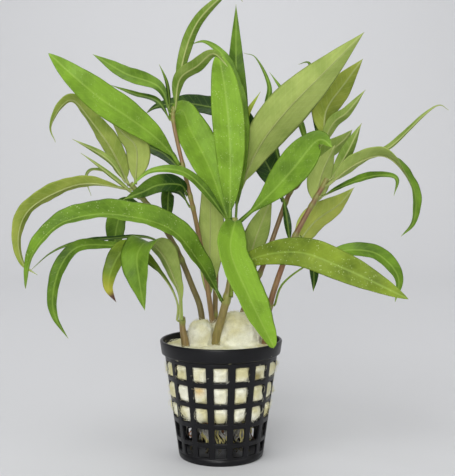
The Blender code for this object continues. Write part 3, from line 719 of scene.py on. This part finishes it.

# %% [markdown]
# ## The table of leaves
#
# Name, stem, height on the stem, width, then the points that the midrib passes through, all
# in millimetres. The last column is how the blade lies and looks:
#
# - turn rolls the blade, in degrees at its base and its tip: a positive turn shows its
#   upper face to the front, a negative one its underside
# - fold is the angle of the V across the midrib, widest where the blade is broadest as a
#   share of its length, petiole the share that is bare stalk
# - light, yellow, speck and tip give its colour: how bright, how yellow, how speckled the
#   skin is, and how far the tip has withered; light is partly the leaf's own tone and partly
#   painted light and shade, low for a leaf that lies in the shade of others

# %% Leaf table
LEAVES = [
    ("tall_1", "tall", 112, 7, [(-19, 10, 119), (-24, 15, 119), (-25, 17, 104)],
     dict(turn=(60, 80), widest=0.6, light=0.05)),
    ("tall_2", "tall", 117, 10, [(-18, -3, 122), (-27, -8, 122), (-34, -11, 119), (-42, -14, 116)],
     dict(turn=(60, 60), light=0.25)),
    ("tall_3", "tall", 128, 8, [(-26, 14, 136), (-34, 24, 140), (-40, 32, 145)],
     dict(turn=(50, 50), light=0.05)),
    ("tall_4", "tall", 131, 15, [(-22, -3, 136), (-30, -8, 144), (-41, -12, 152), (-50, -15, 158),
     (-61, -18, 167), (-73, -17, 178)],
     dict(turn=(75, 75), widest=0.52, taper=0.8, light=0.85, speck=0.35)),
    ("tall_5", "tall", 151, 3.5, [(-29, 8, 160), (-40, 16, 164), (-52, 24, 169)],
     dict(turn=(50, 50), light=0.35)),
    ("tall_6", "tall", 153.5, 8, [(-28, 6, 166), (-44, 14, 173), (-60, 22, 183)],
     dict(turn=(70, 60), widest=0.5, light=0.55)),
    ("tall_7", "tall", 155, 2.2, [(-24, -2, 167), (-27, -4, 175)], dict(turn=(60, 60), light=0.5)),
    ("tall_8", "tall", 156, 6, [(-17, 8, 179), (-11, 14, 196), (-1, 20, 208), (5, 24, 213), (10, 26, 208)],
     dict(turn=(-70, -70), light=0.12)),
    ("tall_9", "tall", 155, 7, [(-18, -6, 168), (-10, -14, 173), (-3, -22, 177), (3, -28, 171)],
     dict(turn=(-50, -50), light=0.15)),
    ("left_1", "left", 89, 7, [(-31, -8, 95), (-46, -14, 96), (-60, -22, 96), (-67, -26, 88),
     (-70, -28, 76), (-69, -28, 67), (-64, -28, 58)],
     dict(turn=(40, 60), widest=0.6, light=0.45, speck=0.3)),
    ("left_2", "left", 94, 3.5, [(-33, -4, 99), (-49, 2, 98), (-65, 6, 96), (-78, 10, 91), (-88, 12, 83)],
     dict(turn=(30, 30), light=0.1)),
    ("left_3", "left", 113, 12, [(-43, 6, 113), (-48, 13, 103), (-50, 17, 90)],
     dict(turn=(60, 70), widest=0.55, light=0.35)),
    ("left_4", "left", 120.5, 10, [(-57, -10, 123), (-69, -14, 120), (-82, -16, 112), (-87, -16, 101),
     (-86, -14, 89), (-80, -12, 83)],
     dict(turn=(-40, -40), light=0.35, yellow=0.25)),
    ("left_5", "left", 116, 3, [(-46, 4, 123), (-53, 12, 128), (-61, 20, 129), (-64, 24, 125),
     (-62, 26, 117)],
     dict(turn=(-30, -30), light=0.2)),
    ("left_6", "left", 122, 11, [(-49, 3, 138), (-60, 6, 153), (-66, 4, 160), (-71, 0, 157),
     (-75, -3, 148), (-73, -4, 141)],
     dict(turn=(-85, -10), widest=0.3, light=0.4, yellow=0.15)),
    ("left_7", "left", 122.5, 12, [(-37, -6, 138), (-43, -6, 145), (-48, -4, 150)],
     dict(turn=(-80, -80), light=0.75, yellow=0.1)),
    ("left_8", "left", 122.8, 3.5, [(-47, -8, 131), (-53, -9, 136), (-64, -12, 142)],
     dict(turn=(-60, -60), light=0.3)),
    ("left_9", "left", 117.5, 2.5, [(-51, -12, 129), (-60, -15, 136)], dict(turn=(-60, -60), light=0.35)),
    ("centre_1", "centre", 71, 15, [(-3, -13, 78), (-10, -20, 90), (-22, -28, 104), (-44, -38, 110),
     (-60, -44, 108), (-69, -46, 102), (-75, -46, 93), (-78, -44, 81)],
     dict(turn=(55, 25), fold=30, taper=0.7, light=0.6, speck=0.9)),
    ("centre_2", "centre", 73, 14, [(6, -12, 83), (15, -17, 91), (33, -26, 94), (51, -36, 88),
     (75, -46, 77)],
     dict(turn=(75, 75), widest=0.56, taper=0.8, light=0.45, speck=1.0, yellow=0.2)),
    ("centre_3", "centre", 103, 17, [(6, -14, 106), (4, -26, 94), (11, -32, 77), (22, -34, 55)],
     dict(widest=0.46, taper=0.5, light=1.0, speck=0.3)),
    ("centre_4", "centre", 105.5, 5, [(-7, -14, 120), (-17, -16, 128), (-30, -17, 128), (-39, -17, 121)],
     dict(turn=(60, 60), light=0.6)),
    ("centre_5", "centre", 104.5, 18, [(-5, 0, 129), (-14, 8, 147), (-18, 12, 156), (-24, 14, 152)],
     dict(turn=(60, 60), widest=0.55, taper=0.6, light=0.88, speck=0.4)),
    ("centre_6", "centre", 107.5, 15, [(4, -9, 137), (2, -6, 162), (-1, 0, 180)],
     dict(turn=(85, 85), widest=0.55, taper=0.5, light=0.9, speck=0.8)),
    ("centre_7", "centre", 106.5, 9, [(8, 0, 133), (8, 8, 156), (4, 16, 175), (-1, 20, 184),
     (-8, 24, 189), (-15, 26, 188)],
     dict(turn=(60, 60), light=0.6)),
    ("centre_8", "centre", 106, 16, [(21, -14, 118), (31, -17, 129), (41, -20, 141), (47, -24, 138)],
     dict(turn=(75, 75), widest=0.6, light=0.62, speck=0.3)),
    ("back_1", "back", 62, 13, [(-6, 11, 76), (-5, 10, 97), (-5, 8, 120), (-6, 5, 140)],
     dict(petiole=0.1, light=1.0)),
    ("back_2", "back", 113, 12, [(13, 26, 146), (5, 36, 157), (-6, 42, 160), (-18, 45, 162),
     (-31, 46, 161), (-38, 46, 157)],
     dict(turn=(60, 60), petiole=0.2, widest=0.52, light=0.0)),
    ("back_3", "back", 118.5, 10, [(8, 20, 148), (7, 30, 180), (7, 38, 209)],
     dict(turn=(70, 70), light=0.3)),
    ("back_4", "back", 121.8, 5.5, [(9, 15, 138), (11, 15, 152), (18, 15, 165)],
     dict(turn=(60, 60), light=0.8, yellow=0.5)),
    ("back_5", "back", 119, 20, [(17, 6, 139), (29, -4, 155), (46, -14, 172), (60, -22, 186)],
     dict(turn=(-80, -80), light=0.85)),
    ("rear_right_1", "rear_right", 81, 12, [(14, 8, 91), (18, 5, 104), (23, 4, 117)],
     dict(turn=(-80, -80), light=0.6)),
    ("rear_right_2", "rear_right", 114, 15, [(24, 26, 127), (18, 36, 139), (13, 44, 149)],
     dict(turn=(60, 60), light=0.0)),
    ("rear_right_3", "rear_right", 119, 3.5, [(22, 28, 154), (23, 38, 170), (17, 44, 184), (11, 46, 187)],
     dict(turn=(40, 40), light=0.3)),
    ("rear_right_4", "rear_right", 135, 4, [(37, 20, 150), (31, 26, 163), (23, 32, 176)],
     dict(turn=(50, 50), light=0.5)),
    ("rear_right_5", "rear_right", 133, 9, [(54, 8, 141), (59, 4, 147)],
     dict(turn=(-60, -60), light=0.3)),
    ("rear_right_6", "rear_right", 141, 4.8, [(44, 22, 157), (43, 28, 170), (42, 32, 180), (37, 34, 180)],
     dict(turn=(60, 60), light=0.1)),
    ("rear_right_7", "rear_right", 137, 6.4, [(51, 10, 150), (57, 8, 155), (65, 6, 165)],
     dict(turn=(-70, -70), light=0.45)),
    ("rear_right_8", "rear_right", 142.5, 14, [(48, 12, 156), (56, 10, 168), (64, 8, 179)],
     dict(turn=(-70, -70), light=0.25, yellow=0.3)),
    ("right_1", "right", 68, 8, [(27, -6, 78), (36, -9, 86), (48, -12, 92), (58, -14, 94), (68, -16, 92),
     (76, -17, 83), (75, -18, 72)],
     dict(turn=(45, 60), petiole=0.2, widest=0.62, light=0.55)),
    ("right_2", "right", 92, 14, [(42, 6, 105), (54, 12, 113), (62, 18, 121)],
     dict(turn=(-70, -70), light=0.7, yellow=0.35)),
    ("right_3", "right", 96, 3.6, [(30, 2, 104), (28, 4, 117)], dict(turn=(60, 60), light=0.1)),
    ("right_4", "right", 100, 5, [(39, -3, 94), (41, -4, 84), (41, -5, 75)],
     dict(turn=(60, 60), widest=0.6, light=0.1)),
    ("right_5", "right", 113, 12, [(45, 0, 127), (51, 2, 140)], dict(turn=(-80, -80), light=0.8)),
    ("right_6", "right", 117, 5.6, [(56, -14, 123), (65, -24, 126), (72, -32, 125), (71, -34, 118)],
     dict(turn=(40, 40), light=0.4)),
    ("right_7", "right", 122, 12, [(58, -9, 131), (69, -12, 135), (77, -14, 130), (83, -15, 119),
     (83, -15, 107), (78, -14, 100)],
     dict(turn=(-70, 70), widest=0.36, light=0.55)),
    ("right_8", "right", 123, 3.5, [(61, 2, 134), (76, 8, 139), (93, 14, 154), (101, 18, 159),
     (106, 20, 157)],
     dict(turn=(-60, -60), light=0.3)),
    ("right_9", "right", 124.5, 6.5, [(55, -8, 136), (61, -10, 149)], dict(turn=(-70, -70), light=0.2)),
    ("short_1", "short", 62, 9, [(-19, -8, 70), (-23, -9, 79), (-31, -15, 89), (-40, -22, 95),
     (-45, -26, 88), (-47, -26, 80), (-44, -26, 73)],
     dict(turn=(20, 70), widest=0.65, light=0.5, yellow=0.15, tip=1.0)),
    ("short_2", "short", 62.5, 16, [(-18, -11, 75), (-20, -12, 81), (-23, -16, 89), (-27, -23, 96),
     (-31, -29, 98), (-34, -33, 93), (-33, -36, 84), (-31, -36, 71)],
     dict(widest=0.58, light=0.6)),
]
print("stems:", len(STEMS), "leaves:", len(LEAVES))

# %% Grow the stems
STEM_SPACING = 0.7
stem_paths = {}
for name, radii, (red, dark), points in STEMS:
    path, along = smooth_path([Vector(p) for p in points], STEM_SPACING)
    joints = [leaf[2] for leaf in LEAVES if "stem_" + leaf[1] == name]
    girths, knots = [], []
    for place, distance in zip(path, along):
        near = max((math.exp(-((place.z - height) / 1.3) ** 2) for height in joints), default=0.0)
        plain = radii[0] + (radii[1] - radii[0]) * distance / along[-1]
        girths.append(plain * (1 + 0.22 * near) * MM)
        knots.append(near)
    stem_paths[name] = (path, [girth / MM for girth in girths])
    piece = grow(name + "_skin", rail_mesh(name, path, {"girth": girths, "knot": knots}), tube,
                 red=red, dark=dark)
    finish_piece(piece, "stem", name)
    print(piece.name, "faces:", len(piece.data.polygons))

# %% [markdown]
# ## Leaf skins
#
# The upper skin of a hygrophila leaf is smooth and glossy, deep green to a bright
# yellow-green, with paler veins and many tiny pale specks. The underside is a dull,
# much paler green with a strong light midrib. Where a leaf falls between the two ends is set
# by its light value, which paints the light and shade it lies in as well as its own tone, and
# the upper skin is painted darker near the stem, where the crown shades it. Both materials
# read the blade's own coordinates: the distance along the midrib and across it, in metres, so
# that a vein is drawn at its real spacing and width whatever way the leaf bends.

# %% Leaf materials
VEIN_SPACING = 3.6 * MM
VEIN_LEAN = 0.95


def leaf_skin(name, deep, bright, vein, vein_share, rib_share, gloss, shine, foot_shade_and_tone):
    """Skin of one face of the blade, with midrib, side veins, specks and withered tip."""
    material, tree = new_material(name)
    at = add(tree, "ShaderNodeTexCoord").outputs["Object"]
    blade = add(tree, "ShaderNodeSeparateXYZ",
                {0: add(tree, "ShaderNodeAttribute", attribute_name="blade").outputs["Vector"]})
    look = add(tree, "ShaderNodeSeparateXYZ",
               {0: add(tree, "ShaderNodeAttribute", attribute_name="look").outputs["Vector"]})
    end = add(tree, "ShaderNodeAttribute", attribute_name="withered").outputs["Fac"]
    patches = add(tree, "ShaderNodeTexNoise", {"Vector": at, "Scale": 1 / (10 * MM), "Detail": 3.0})
    swing = add(tree, "ShaderNodeMapRange", {"Value": patches, "From Min": 0.3, "From Max": 0.7,
                                             "To Min": -0.26, "To Max": 0.26})
    # Painted shade: on the upper skin the colour is darkened over the first two centimetres from the stem,
    # where the crown shades it; on the underside it is made a little paler there
    foot_shade_and_tone_ramp = add(tree, "ShaderNodeMapRange", {"Value": blade.outputs["X"], "From Min": 2 * MM,
                                                 "From Max": 24 * MM, "To Min": foot_shade_and_tone,
                                                 "To Max": 0.0}, interpolation_type="SMOOTHSTEP")
    swing = add(tree, "ShaderNodeMath", {0: swing, 1: foot_shade_and_tone_ramp}, operation="ADD")
    # Light: each leaf's own tone with painted light and shade for where it hangs, plus random patches and the
    # painted shade at the foot
    light = add(tree, "ShaderNodeMath", {0: look.outputs["X"], 1: swing}, operation="ADD", use_clamp=True)
    base = add(tree, "ShaderNodeMix", {"Factor": light, "A": colour(deep), "B": colour(bright)},
               data_type="RGBA")
    # Streaks: tissue lies in strands under a millimetre wide and a centimetre long
    laid = add(tree, "ShaderNodeCombineXYZ", {"X": add(tree, "ShaderNodeMath", {0: blade.outputs["X"], 1: 0.08},
                                                       operation="MULTIPLY"), "Y": blade.outputs["Y"]})
    strands = add(tree, "ShaderNodeTexNoise", {"Vector": laid, "Scale": 1 / (0.9 * MM), "Detail": 4.0})
    strand = add(tree, "ShaderNodeMapRange", {"Value": strands, "From Min": 0.3, "From Max": 0.7,
                                              "To Min": 0.93, "To Max": 1.07})
    base = add(tree, "ShaderNodeMix", {"Factor": 1.0, "A": base, "B": strand}, data_type="RGBA",
               blend_type="MULTIPLY")
    sallow = add(tree, "ShaderNodeMath", {0: look.outputs["Y"], 1: patches}, operation="MULTIPLY")
    sallow = add(tree, "ShaderNodeMath", {0: sallow, 1: 2.0}, operation="MULTIPLY", use_clamp=True)
    base = add(tree, "ShaderNodeMix", {"Factor": sallow, "A": base, "B": colour("#B9B944")},
               data_type="RGBA")
    # Side veins: how far along the midrib a point's own vein starts, in vein spacings
    off_axis = add(tree, "ShaderNodeMath", {0: blade.outputs["Y"]}, operation="ABSOLUTE")
    start = add(tree, "ShaderNodeMath", {0: off_axis, 1: -VEIN_LEAN, 2: blade.outputs["X"]},
                operation="MULTIPLY_ADD")
    right = add(tree, "ShaderNodeMath", {0: blade.outputs["Y"], 1: 0.0}, operation="GREATER_THAN")
    half_step = add(tree, "ShaderNodeMath", {0: right, 1: 0.5}, operation="MULTIPLY")
    count = add(tree, "ShaderNodeMath", {0: start, 1: 1 / VEIN_SPACING, 2: half_step},
                operation="MULTIPLY_ADD")
    near = add(tree, "ShaderNodeMath", {0: count, 1: 0.5}, operation="PINGPONG")
    side_vein = add(tree, "ShaderNodeMapRange", {"Value": near, "From Min": 0.03, "From Max": 0.13,
                                                 "To Min": vein_share, "To Max": 0.0},
                    interpolation_type="SMOOTHSTEP")
    midrib = add(tree, "ShaderNodeMapRange", {"Value": off_axis, "From Min": 0.2 * MM,
                                              "From Max": 0.6 * MM, "To Min": rib_share,
                                              "To Max": 0.0},
                 interpolation_type="SMOOTHSTEP")
    lines = add(tree, "ShaderNodeMath", {0: side_vein, 1: midrib}, operation="MAXIMUM")
    base = add(tree, "ShaderNodeMix", {"Factor": lines, "A": base, "B": colour(vein)}, data_type="RGBA")
    # Specks: pale dots a third of a millimetre wide, about a millimetre apart
    dots = add(tree, "ShaderNodeTexVoronoi", {"Vector": at, "Scale": 1 / (1.0 * MM), "Randomness": 1.0})
    dot = add(tree, "ShaderNodeMapRange", {"Value": dots.outputs["Distance"], "From Min": 0.16,
                                           "From Max": 0.3, "To Min": 0.5, "To Max": 0.0})
    uneven = add(tree, "ShaderNodeTexNoise", {"Vector": at, "Scale": 1 / (3.0 * MM), "Detail": 2.0})
    some = add(tree, "ShaderNodeMapRange", {"Value": uneven, "From Min": 0.45, "From Max": 0.6})
    dot = add(tree, "ShaderNodeMath", {0: dot, 1: some}, operation="MULTIPLY")
    dot = add(tree, "ShaderNodeMath", {0: dot, 1: look.outputs["Z"]}, operation="MULTIPLY")
    base = add(tree, "ShaderNodeMix", {"Factor": dot, "A": base, "B": colour("#C9D896")},
               data_type="RGBA")
    yellowed = add(tree, "ShaderNodeMapRange", {"Value": end, "From Min": 0.35, "From Max": 0.85})
    base = add(tree, "ShaderNodeMix", {"Factor": yellowed, "A": base, "B": colour("#B8AE3E")},
               data_type="RGBA")
    browned = add(tree, "ShaderNodeMapRange", {"Value": end, "From Min": 0.72, "From Max": 0.84})
    base = add(tree, "ShaderNodeMix", {"Factor": browned, "A": base, "B": colour("#5A4034")},
               data_type="RGBA")
    fine = add(tree, "ShaderNodeTexNoise", {"Vector": at, "Scale": 1 / (0.7 * MM), "Detail": 3.0})
    rough = add(tree, "ShaderNodeMapRange", {"Value": uneven, "From Min": 0.3, "From Max": 0.7,
                                             "To Min": gloss - 0.08, "To Max": gloss + 0.1})
    height = add(tree, "ShaderNodeMath", {0: strands, 1: 0.5, 2: fine}, operation="MULTIPLY_ADD")
    height = add(tree, "ShaderNodeMath", {0: dot, 1: 1.5, 2: height}, operation="MULTIPLY_ADD")
    relief = add(tree, "ShaderNodeBump", {"Strength": 0.35, "Distance": 0.12 * MM, "Height": height})
    shade(tree, Base_Color=base, Roughness=rough, Specular_IOR_Level=shine, Normal=relief)
    return material


upper_skin = leaf_skin("glossy upper leaf skin", "#22400C", "#7EA432", "#A2BF58", 0.06, 0.3, 0.42,
                       0.14, -0.4)
lower_skin = leaf_skin("dull leaf underside", "#64802F", "#A8B866", "#C0CB88", 0.09, 0.5, 0.6,
                       0.05, 0.1)
rib_skin, tree = new_material("pale leaf midrib")
at = add(tree, "ShaderNodeTexCoord").outputs["Object"]
mottle = add(tree, "ShaderNodeTexNoise", {"Vector": at, "Scale": 1 / (5 * MM), "Detail": 2.0})
rib_colour = add(tree, "ShaderNodeValToRGB", {0: mottle}, stops=[(0, "#8E9650"), (1, "#B2BE74")])
shade(tree, Base_Color=rib_colour, Roughness=0.5)

# %% [markdown]
# ## The blade tree
#
# One tree grows every leaf. It starts from a rail: the midrib's path, which carries the
# blade's side and face directions, its half width and its distance from the stem. The tree
# lays a grid along the rail and moves each point sideways, up the fold of the V, down into
# the side veins and out of plane where the margin ripples. It does so twice, once for each
# skin. The skins meet in a thin edge and are welded there into one closed blade. A slim
# round midrib runs along the underside and makes the stalk.

# %% Blade tree
blade, given = new_tree("hygrophila blade", {
    "Stations": 60, "Columns": 17, "Fold": 0.35, "Thickness": 0.42 * MM,
    "Vein Spacing": VEIN_SPACING, "Vein Lean": VEIN_LEAN, "Vein Depth": 0.05 * MM,
    "Ripple": 0.3 * MM, "Ripple Length": 17 * MM, "Seed": 0.0, "Light": 0.6, "Yellow": 0.0,
    "Speck": 0.2, "Upper Skin": upper_skin, "Lower Skin": lower_skin, "Rib Skin": rib_skin})
grid = add(blade, "GeometryNodeMeshGrid", {"Size X": 1.0, "Size Y": 2.0,
                                           "Vertices X": given["Stations"],
                                           "Vertices Y": given["Columns"]})
spot = add(blade, "ShaderNodeSeparateXYZ", {0: add(blade, "GeometryNodeInputPosition")})
across = spot.outputs["Y"]
last = add(blade, "ShaderNodeMath", {0: given["Stations"], 1: 1.0}, operation="SUBTRACT")
share = add(blade, "ShaderNodeMath", {0: spot.outputs["X"], 1: 0.5}, operation="ADD")
station = add(blade, "ShaderNodeMath", {0: share, 1: last}, operation="MULTIPLY")
station = add(blade, "ShaderNodeMath", {0: station}, operation="ROUND")
rail = {}
for label in ("place", "side", "face", "half", "along", "ends", "withered"):
    kind = "FLOAT_VECTOR" if label in ("place", "side", "face") else "FLOAT"
    carried = add(blade, "GeometryNodeInputNamedAttribute", {"Name": label}, data_type=kind)
    rail[label] = add(blade, "GeometryNodeSampleIndex",
                      {"Geometry": given["Geometry"], "Value": carried, "Index": station},
                      data_type=kind, domain="POINT")
reach = add(blade, "ShaderNodeMath", {0: across, 1: rail["half"]}, operation="MULTIPLY")
squared = add(blade, "ShaderNodeMath", {0: across, 1: across}, operation="MULTIPLY")
# The fold, rounded where it crosses the midrib
rounded = add(blade, "ShaderNodeMath", {0: squared, 1: 0.02}, operation="ADD")
rounded = add(blade, "ShaderNodeMath", {0: rounded}, operation="SQRT")
folded = add(blade, "ShaderNodeMath", {0: rounded, 1: rail["half"]}, operation="MULTIPLY")
steep = add(blade, "ShaderNodeMath", {0: given["Fold"]}, operation="SINE")
level = add(blade, "ShaderNodeMath", {0: given["Fold"]}, operation="COSINE")
# Side veins, set half a step apart on the two sides of the midrib
off_axis = add(blade, "ShaderNodeMath", {0: reach}, operation="ABSOLUTE")
leaned = add(blade, "ShaderNodeMath", {0: off_axis, 1: given["Vein Lean"]}, operation="MULTIPLY")
start = add(blade, "ShaderNodeMath", {0: rail["along"], 1: leaned}, operation="SUBTRACT")
count = add(blade, "ShaderNodeMath", {0: start, 1: given["Vein Spacing"]}, operation="DIVIDE")
right = add(blade, "ShaderNodeMath", {0: across, 1: 0.0}, operation="GREATER_THAN")
count = add(blade, "ShaderNodeMath", {0: right, 1: 0.5, 2: count}, operation="MULTIPLY_ADD")
turns = add(blade, "ShaderNodeMath", {0: count, 1: 2 * math.pi}, operation="MULTIPLY")
swell = add(blade, "ShaderNodeMath", {0: turns}, operation="COSINE")
swell = add(blade, "ShaderNodeMath", {0: swell, 1: 0.5, 2: 0.5}, operation="MULTIPLY_ADD")
groove = add(blade, "ShaderNodeMath", {0: swell, 1: 2.0}, operation="POWER")
inward = add(blade, "ShaderNodeMath", {0: 1.0, 1: squared}, operation="SUBTRACT")
groove = add(blade, "ShaderNodeMath", {0: groove, 1: inward}, operation="MULTIPLY")
groove = add(blade, "ShaderNodeMath", {0: groove, 1: given["Vein Depth"]}, operation="MULTIPLY")
# Ripple of the margin, out of step on the two sides
wave = add(blade, "ShaderNodeMath", {0: rail["along"], 1: given["Ripple Length"]}, operation="DIVIDE")
wave = add(blade, "ShaderNodeMath", {0: wave, 1: 2 * math.pi, 2: given["Seed"]}, operation="MULTIPLY_ADD")
wave = add(blade, "ShaderNodeMath", {0: right, 1: 2.1, 2: wave}, operation="MULTIPLY_ADD")
wave_small = add(blade, "ShaderNodeMath", {0: wave, 1: 2.7}, operation="MULTIPLY")
wave_small = add(blade, "ShaderNodeMath", {0: wave_small}, operation="SINE")
wave = add(blade, "ShaderNodeMath", {0: wave}, operation="SINE")
wave = add(blade, "ShaderNodeMath", {0: wave_small, 1: 0.35, 2: wave}, operation="MULTIPLY_ADD")
wave = add(blade, "ShaderNodeMath", {0: wave, 1: squared}, operation="MULTIPLY")
broad = add(blade, "ShaderNodeMapRange", {"Value": rail["half"], "From Max": 5 * MM,
                                          "To Max": given["Ripple"]})
wave = add(blade, "ShaderNodeMath", {0: wave, 1: broad}, operation="MULTIPLY")
# Sum of the three, out along the face
lift = add(blade, "ShaderNodeMath", {0: folded, 1: steep, 2: wave}, operation="MULTIPLY_ADD")
lift = add(blade, "ShaderNodeMath", {0: lift, 1: groove}, operation="SUBTRACT")
flat_reach = add(blade, "ShaderNodeMath", {0: reach, 1: level}, operation="MULTIPLY")
point = add(blade, "ShaderNodeVectorMath", {0: rail["side"], 1: flat_reach, 2: rail["place"]},
            operation="MULTIPLY_ADD")
point = add(blade, "ShaderNodeVectorMath", {0: rail["face"], 1: lift, 2: point},
            operation="MULTIPLY_ADD")
thick = add(blade, "ShaderNodeMath", {0: inward, 1: 0.5}, operation="POWER")
thick = add(blade, "ShaderNodeMath", {0: thick, 1: rail["ends"]}, operation="MULTIPLY")
thick = add(blade, "ShaderNodeMath", {0: thick, 1: given["Thickness"]}, operation="MULTIPLY")
half_thick = add(blade, "ShaderNodeMath", {0: thick, 1: 0.5}, operation="MULTIPLY")
minus_thick = add(blade, "ShaderNodeMath", {0: thick, 1: -0.5}, operation="MULTIPLY")
coordinates = add(blade, "ShaderNodeCombineXYZ", {"X": rail["along"], "Y": reach, "Z": across})
marked = add(blade, "GeometryNodeStoreNamedAttribute",
             {0: grid, "Name": "blade", "Value": coordinates}, data_type="FLOAT_VECTOR", domain="POINT")
marked = add(blade, "GeometryNodeStoreNamedAttribute",
             {0: marked, "Name": "withered", "Value": rail["withered"]}, data_type="FLOAT",
             domain="POINT")
skins = []
for under, offset in ((0, half_thick), (1, minus_thick)):
    shifted = add(blade, "ShaderNodeVectorMath", {0: rail["face"], 1: offset, 2: point},
                  operation="MULTIPLY_ADD")
    sheet = add(blade, "GeometryNodeSetPosition", {0: marked, "Position": shifted})
    sheet = add(blade, "GeometryNodeStoreNamedAttribute", {0: sheet, "Name": "part", "Value": under},
                data_type="INT", domain="FACE")
    skins.append(sheet if under else add(blade, "GeometryNodeFlipFaces", {0: sheet}))
body = add(blade, "GeometryNodeMergeByDistance",
           {0: add(blade, "GeometryNodeJoinGeometry", {0: skins}), "Distance": 0.002 * MM})
# Midrib and stalk: a tapering tube, sunk half into the underside
rib_size = add(blade, "GeometryNodeInputNamedAttribute", {"Name": "rib"}, data_type="FLOAT")
face = add(blade, "GeometryNodeInputNamedAttribute", {"Name": "face"}, data_type="FLOAT_VECTOR")
sunk = add(blade, "ShaderNodeMath", {0: rib_size, 1: -0.7}, operation="MULTIPLY")
below = add(blade, "ShaderNodeVectorMath", {0: face, "Scale": sunk}, operation="SCALE")
spine = add(blade, "GeometryNodeMeshToCurve", {0: given["Geometry"]})
spine = add(blade, "GeometryNodeSetPosition", {0: spine, "Offset": below})
section = add(blade, "GeometryNodeCurvePrimitiveCircle", {"Resolution": 8, "Radius": 1.0})
rib = add(blade, "GeometryNodeCurveToMesh", {"Curve": spine, "Profile Curve": section,
                                             "Scale": rib_size, "Fill Caps": True})
rib = add(blade, "GeometryNodeStoreNamedAttribute", {0: rib, "Name": "part", "Value": 2},
          data_type="INT", domain="FACE")
whole = add(blade, "GeometryNodeJoinGeometry", {0: [body, rib]})
# look: each leaf's light value, its own tone with painted light and shade, then its yellow and speck
whole = add(blade, "GeometryNodeStoreNamedAttribute",
            {0: whole, "Name": "look",
             "Value": add(blade, "ShaderNodeCombineXYZ", {"X": given["Light"], "Y": given["Yellow"],
                                                          "Z": given["Speck"]})},
            data_type="FLOAT_VECTOR", domain="POINT")
whole = add(blade, "GeometryNodeSetShadeSmooth", {0: whole})
whole = add(blade, "GeometryNodeRealizeInstances", {0: whole})
part = add(blade, "GeometryNodeInputNamedAttribute", {"Name": "part"}, data_type="INT")
for number, skin in enumerate(("Upper Skin", "Lower Skin", "Rib Skin")):
    chosen = add(blade, "FunctionNodeCompare", {2: part, 3: number}, data_type="INT",
                 operation="EQUAL")
    whole = add(blade, "GeometryNodeSetMaterial", {0: whole, "Selection": chosen,
                                                   "Material": given[skin]})
add(blade, "NodeGroupOutput", {0: whole})
print("nodes in the blade tree:", len(blade.nodes))

# %% [markdown]
# ## Rails for the leaves
#
# The rail gives the tree what a rule can't: where this one leaf goes. A blade lies level
# across its heading and is rolled by its turn. Its outline is a sine arch, skewed so that
# it is broadest where the table says.


# %% Leaf rails
FRONT = Vector((0, -1, 0))


def stem_at(name, height):
    """Centre and radius of a stem at a height, in millimetres."""
    path, girths = stem_paths[name]
    index = min(range(len(path)), key=lambda i: abs(path[i].z - height))
    return path[index], girths[index]


def leaf_rail(stem, height, width, points, turn=(0, 0), widest=0.42, petiole=0.05, taper=1.0, tip=0.0,
              **rest):
    """Midrib path of a leaf with the directions and sizes that the blade tree reads."""
    centre, radius = stem_at("stem_" + stem, height)
    first = Vector(points[0])
    outward = Vector((first.x - centre.x, first.y - centre.y, 0.0)).normalized()
    foot = centre + outward * (radius - 0.5)
    base = centre + outward * (radius + 0.8)
    path, along = smooth_path([base, *[Vector(p) for p in points]], 0.8)
    run = path[-1] - path[0]
    level = Vector((0, 0, 1)).cross(Vector((run.x, run.y, 0.0))).normalized()
    values = {label: [] for label in ("place", "side", "face", "half", "along", "ends", "rib", "withered")}
    for index, place in enumerate(path):
        tangent = (path[min(index + 1, len(path) - 1)] - path[max(index - 1, 0)]).normalized()
        share = index / (len(path) - 1)
        angle = math.radians(turn[0] + (turn[1] - turn[0]) * share)
        upper = tangent.cross(level).normalized()
        front = (FRONT - tangent * FRONT.dot(tangent)).normalized()
        side = tangent.cross(upper * math.cos(angle) + front * math.sin(angle)).normalized()
        blade_share = max(0.0, (share - petiole) / (1 - petiole))
        power = math.log(0.5) / math.log(widest)
        arch = max(0.0, math.sin(math.pi * blade_share ** power)) ** taper
        half = max(width * arch / 2, max(0.35, 0.07 * width) * (1 - share))
        values["place"].append(place * MM)
        values["side"].append(side)
        values["face"].append(side.cross(tangent))
        values["half"].append(half * MM)
        values["along"].append(along[index] * MM)
        values["ends"].append(min(1.0, half / 0.6) if 0 < index < len(path) - 1 else 0.0)
        values["rib"].append((0.12 + (0.17 + 0.014 * width) * (1 - share) ** 1.3) * MM)
        values["withered"].append(tip * max(0.0, (share - 0.72) / 0.28))
    path[0] = foot
    return rail_mesh("rail", path, values), len(path)


# %% Grow the leaves
faces = 0
for number, (name, stem, height, width, points, looks) in enumerate(LEAVES):
    rail_line, stations = leaf_rail(stem, height, width, points, **looks)
    options = {"fold": math.radians(looks.get("fold", 20)), "seed": number * 1.7,
               "light": looks.get("light", 0.6), "yellow": looks.get("yellow", 0.0),
               "speck": looks.get("speck", 0.15)}
    piece = grow(f"leaf_{name}_blade", rail_line, blade, stations=stations, **options)
    finish_piece(piece, "leaf", "leaf_" + name)
    faces += len(piece.data.polygons)
print("leaf faces in all:", faces)
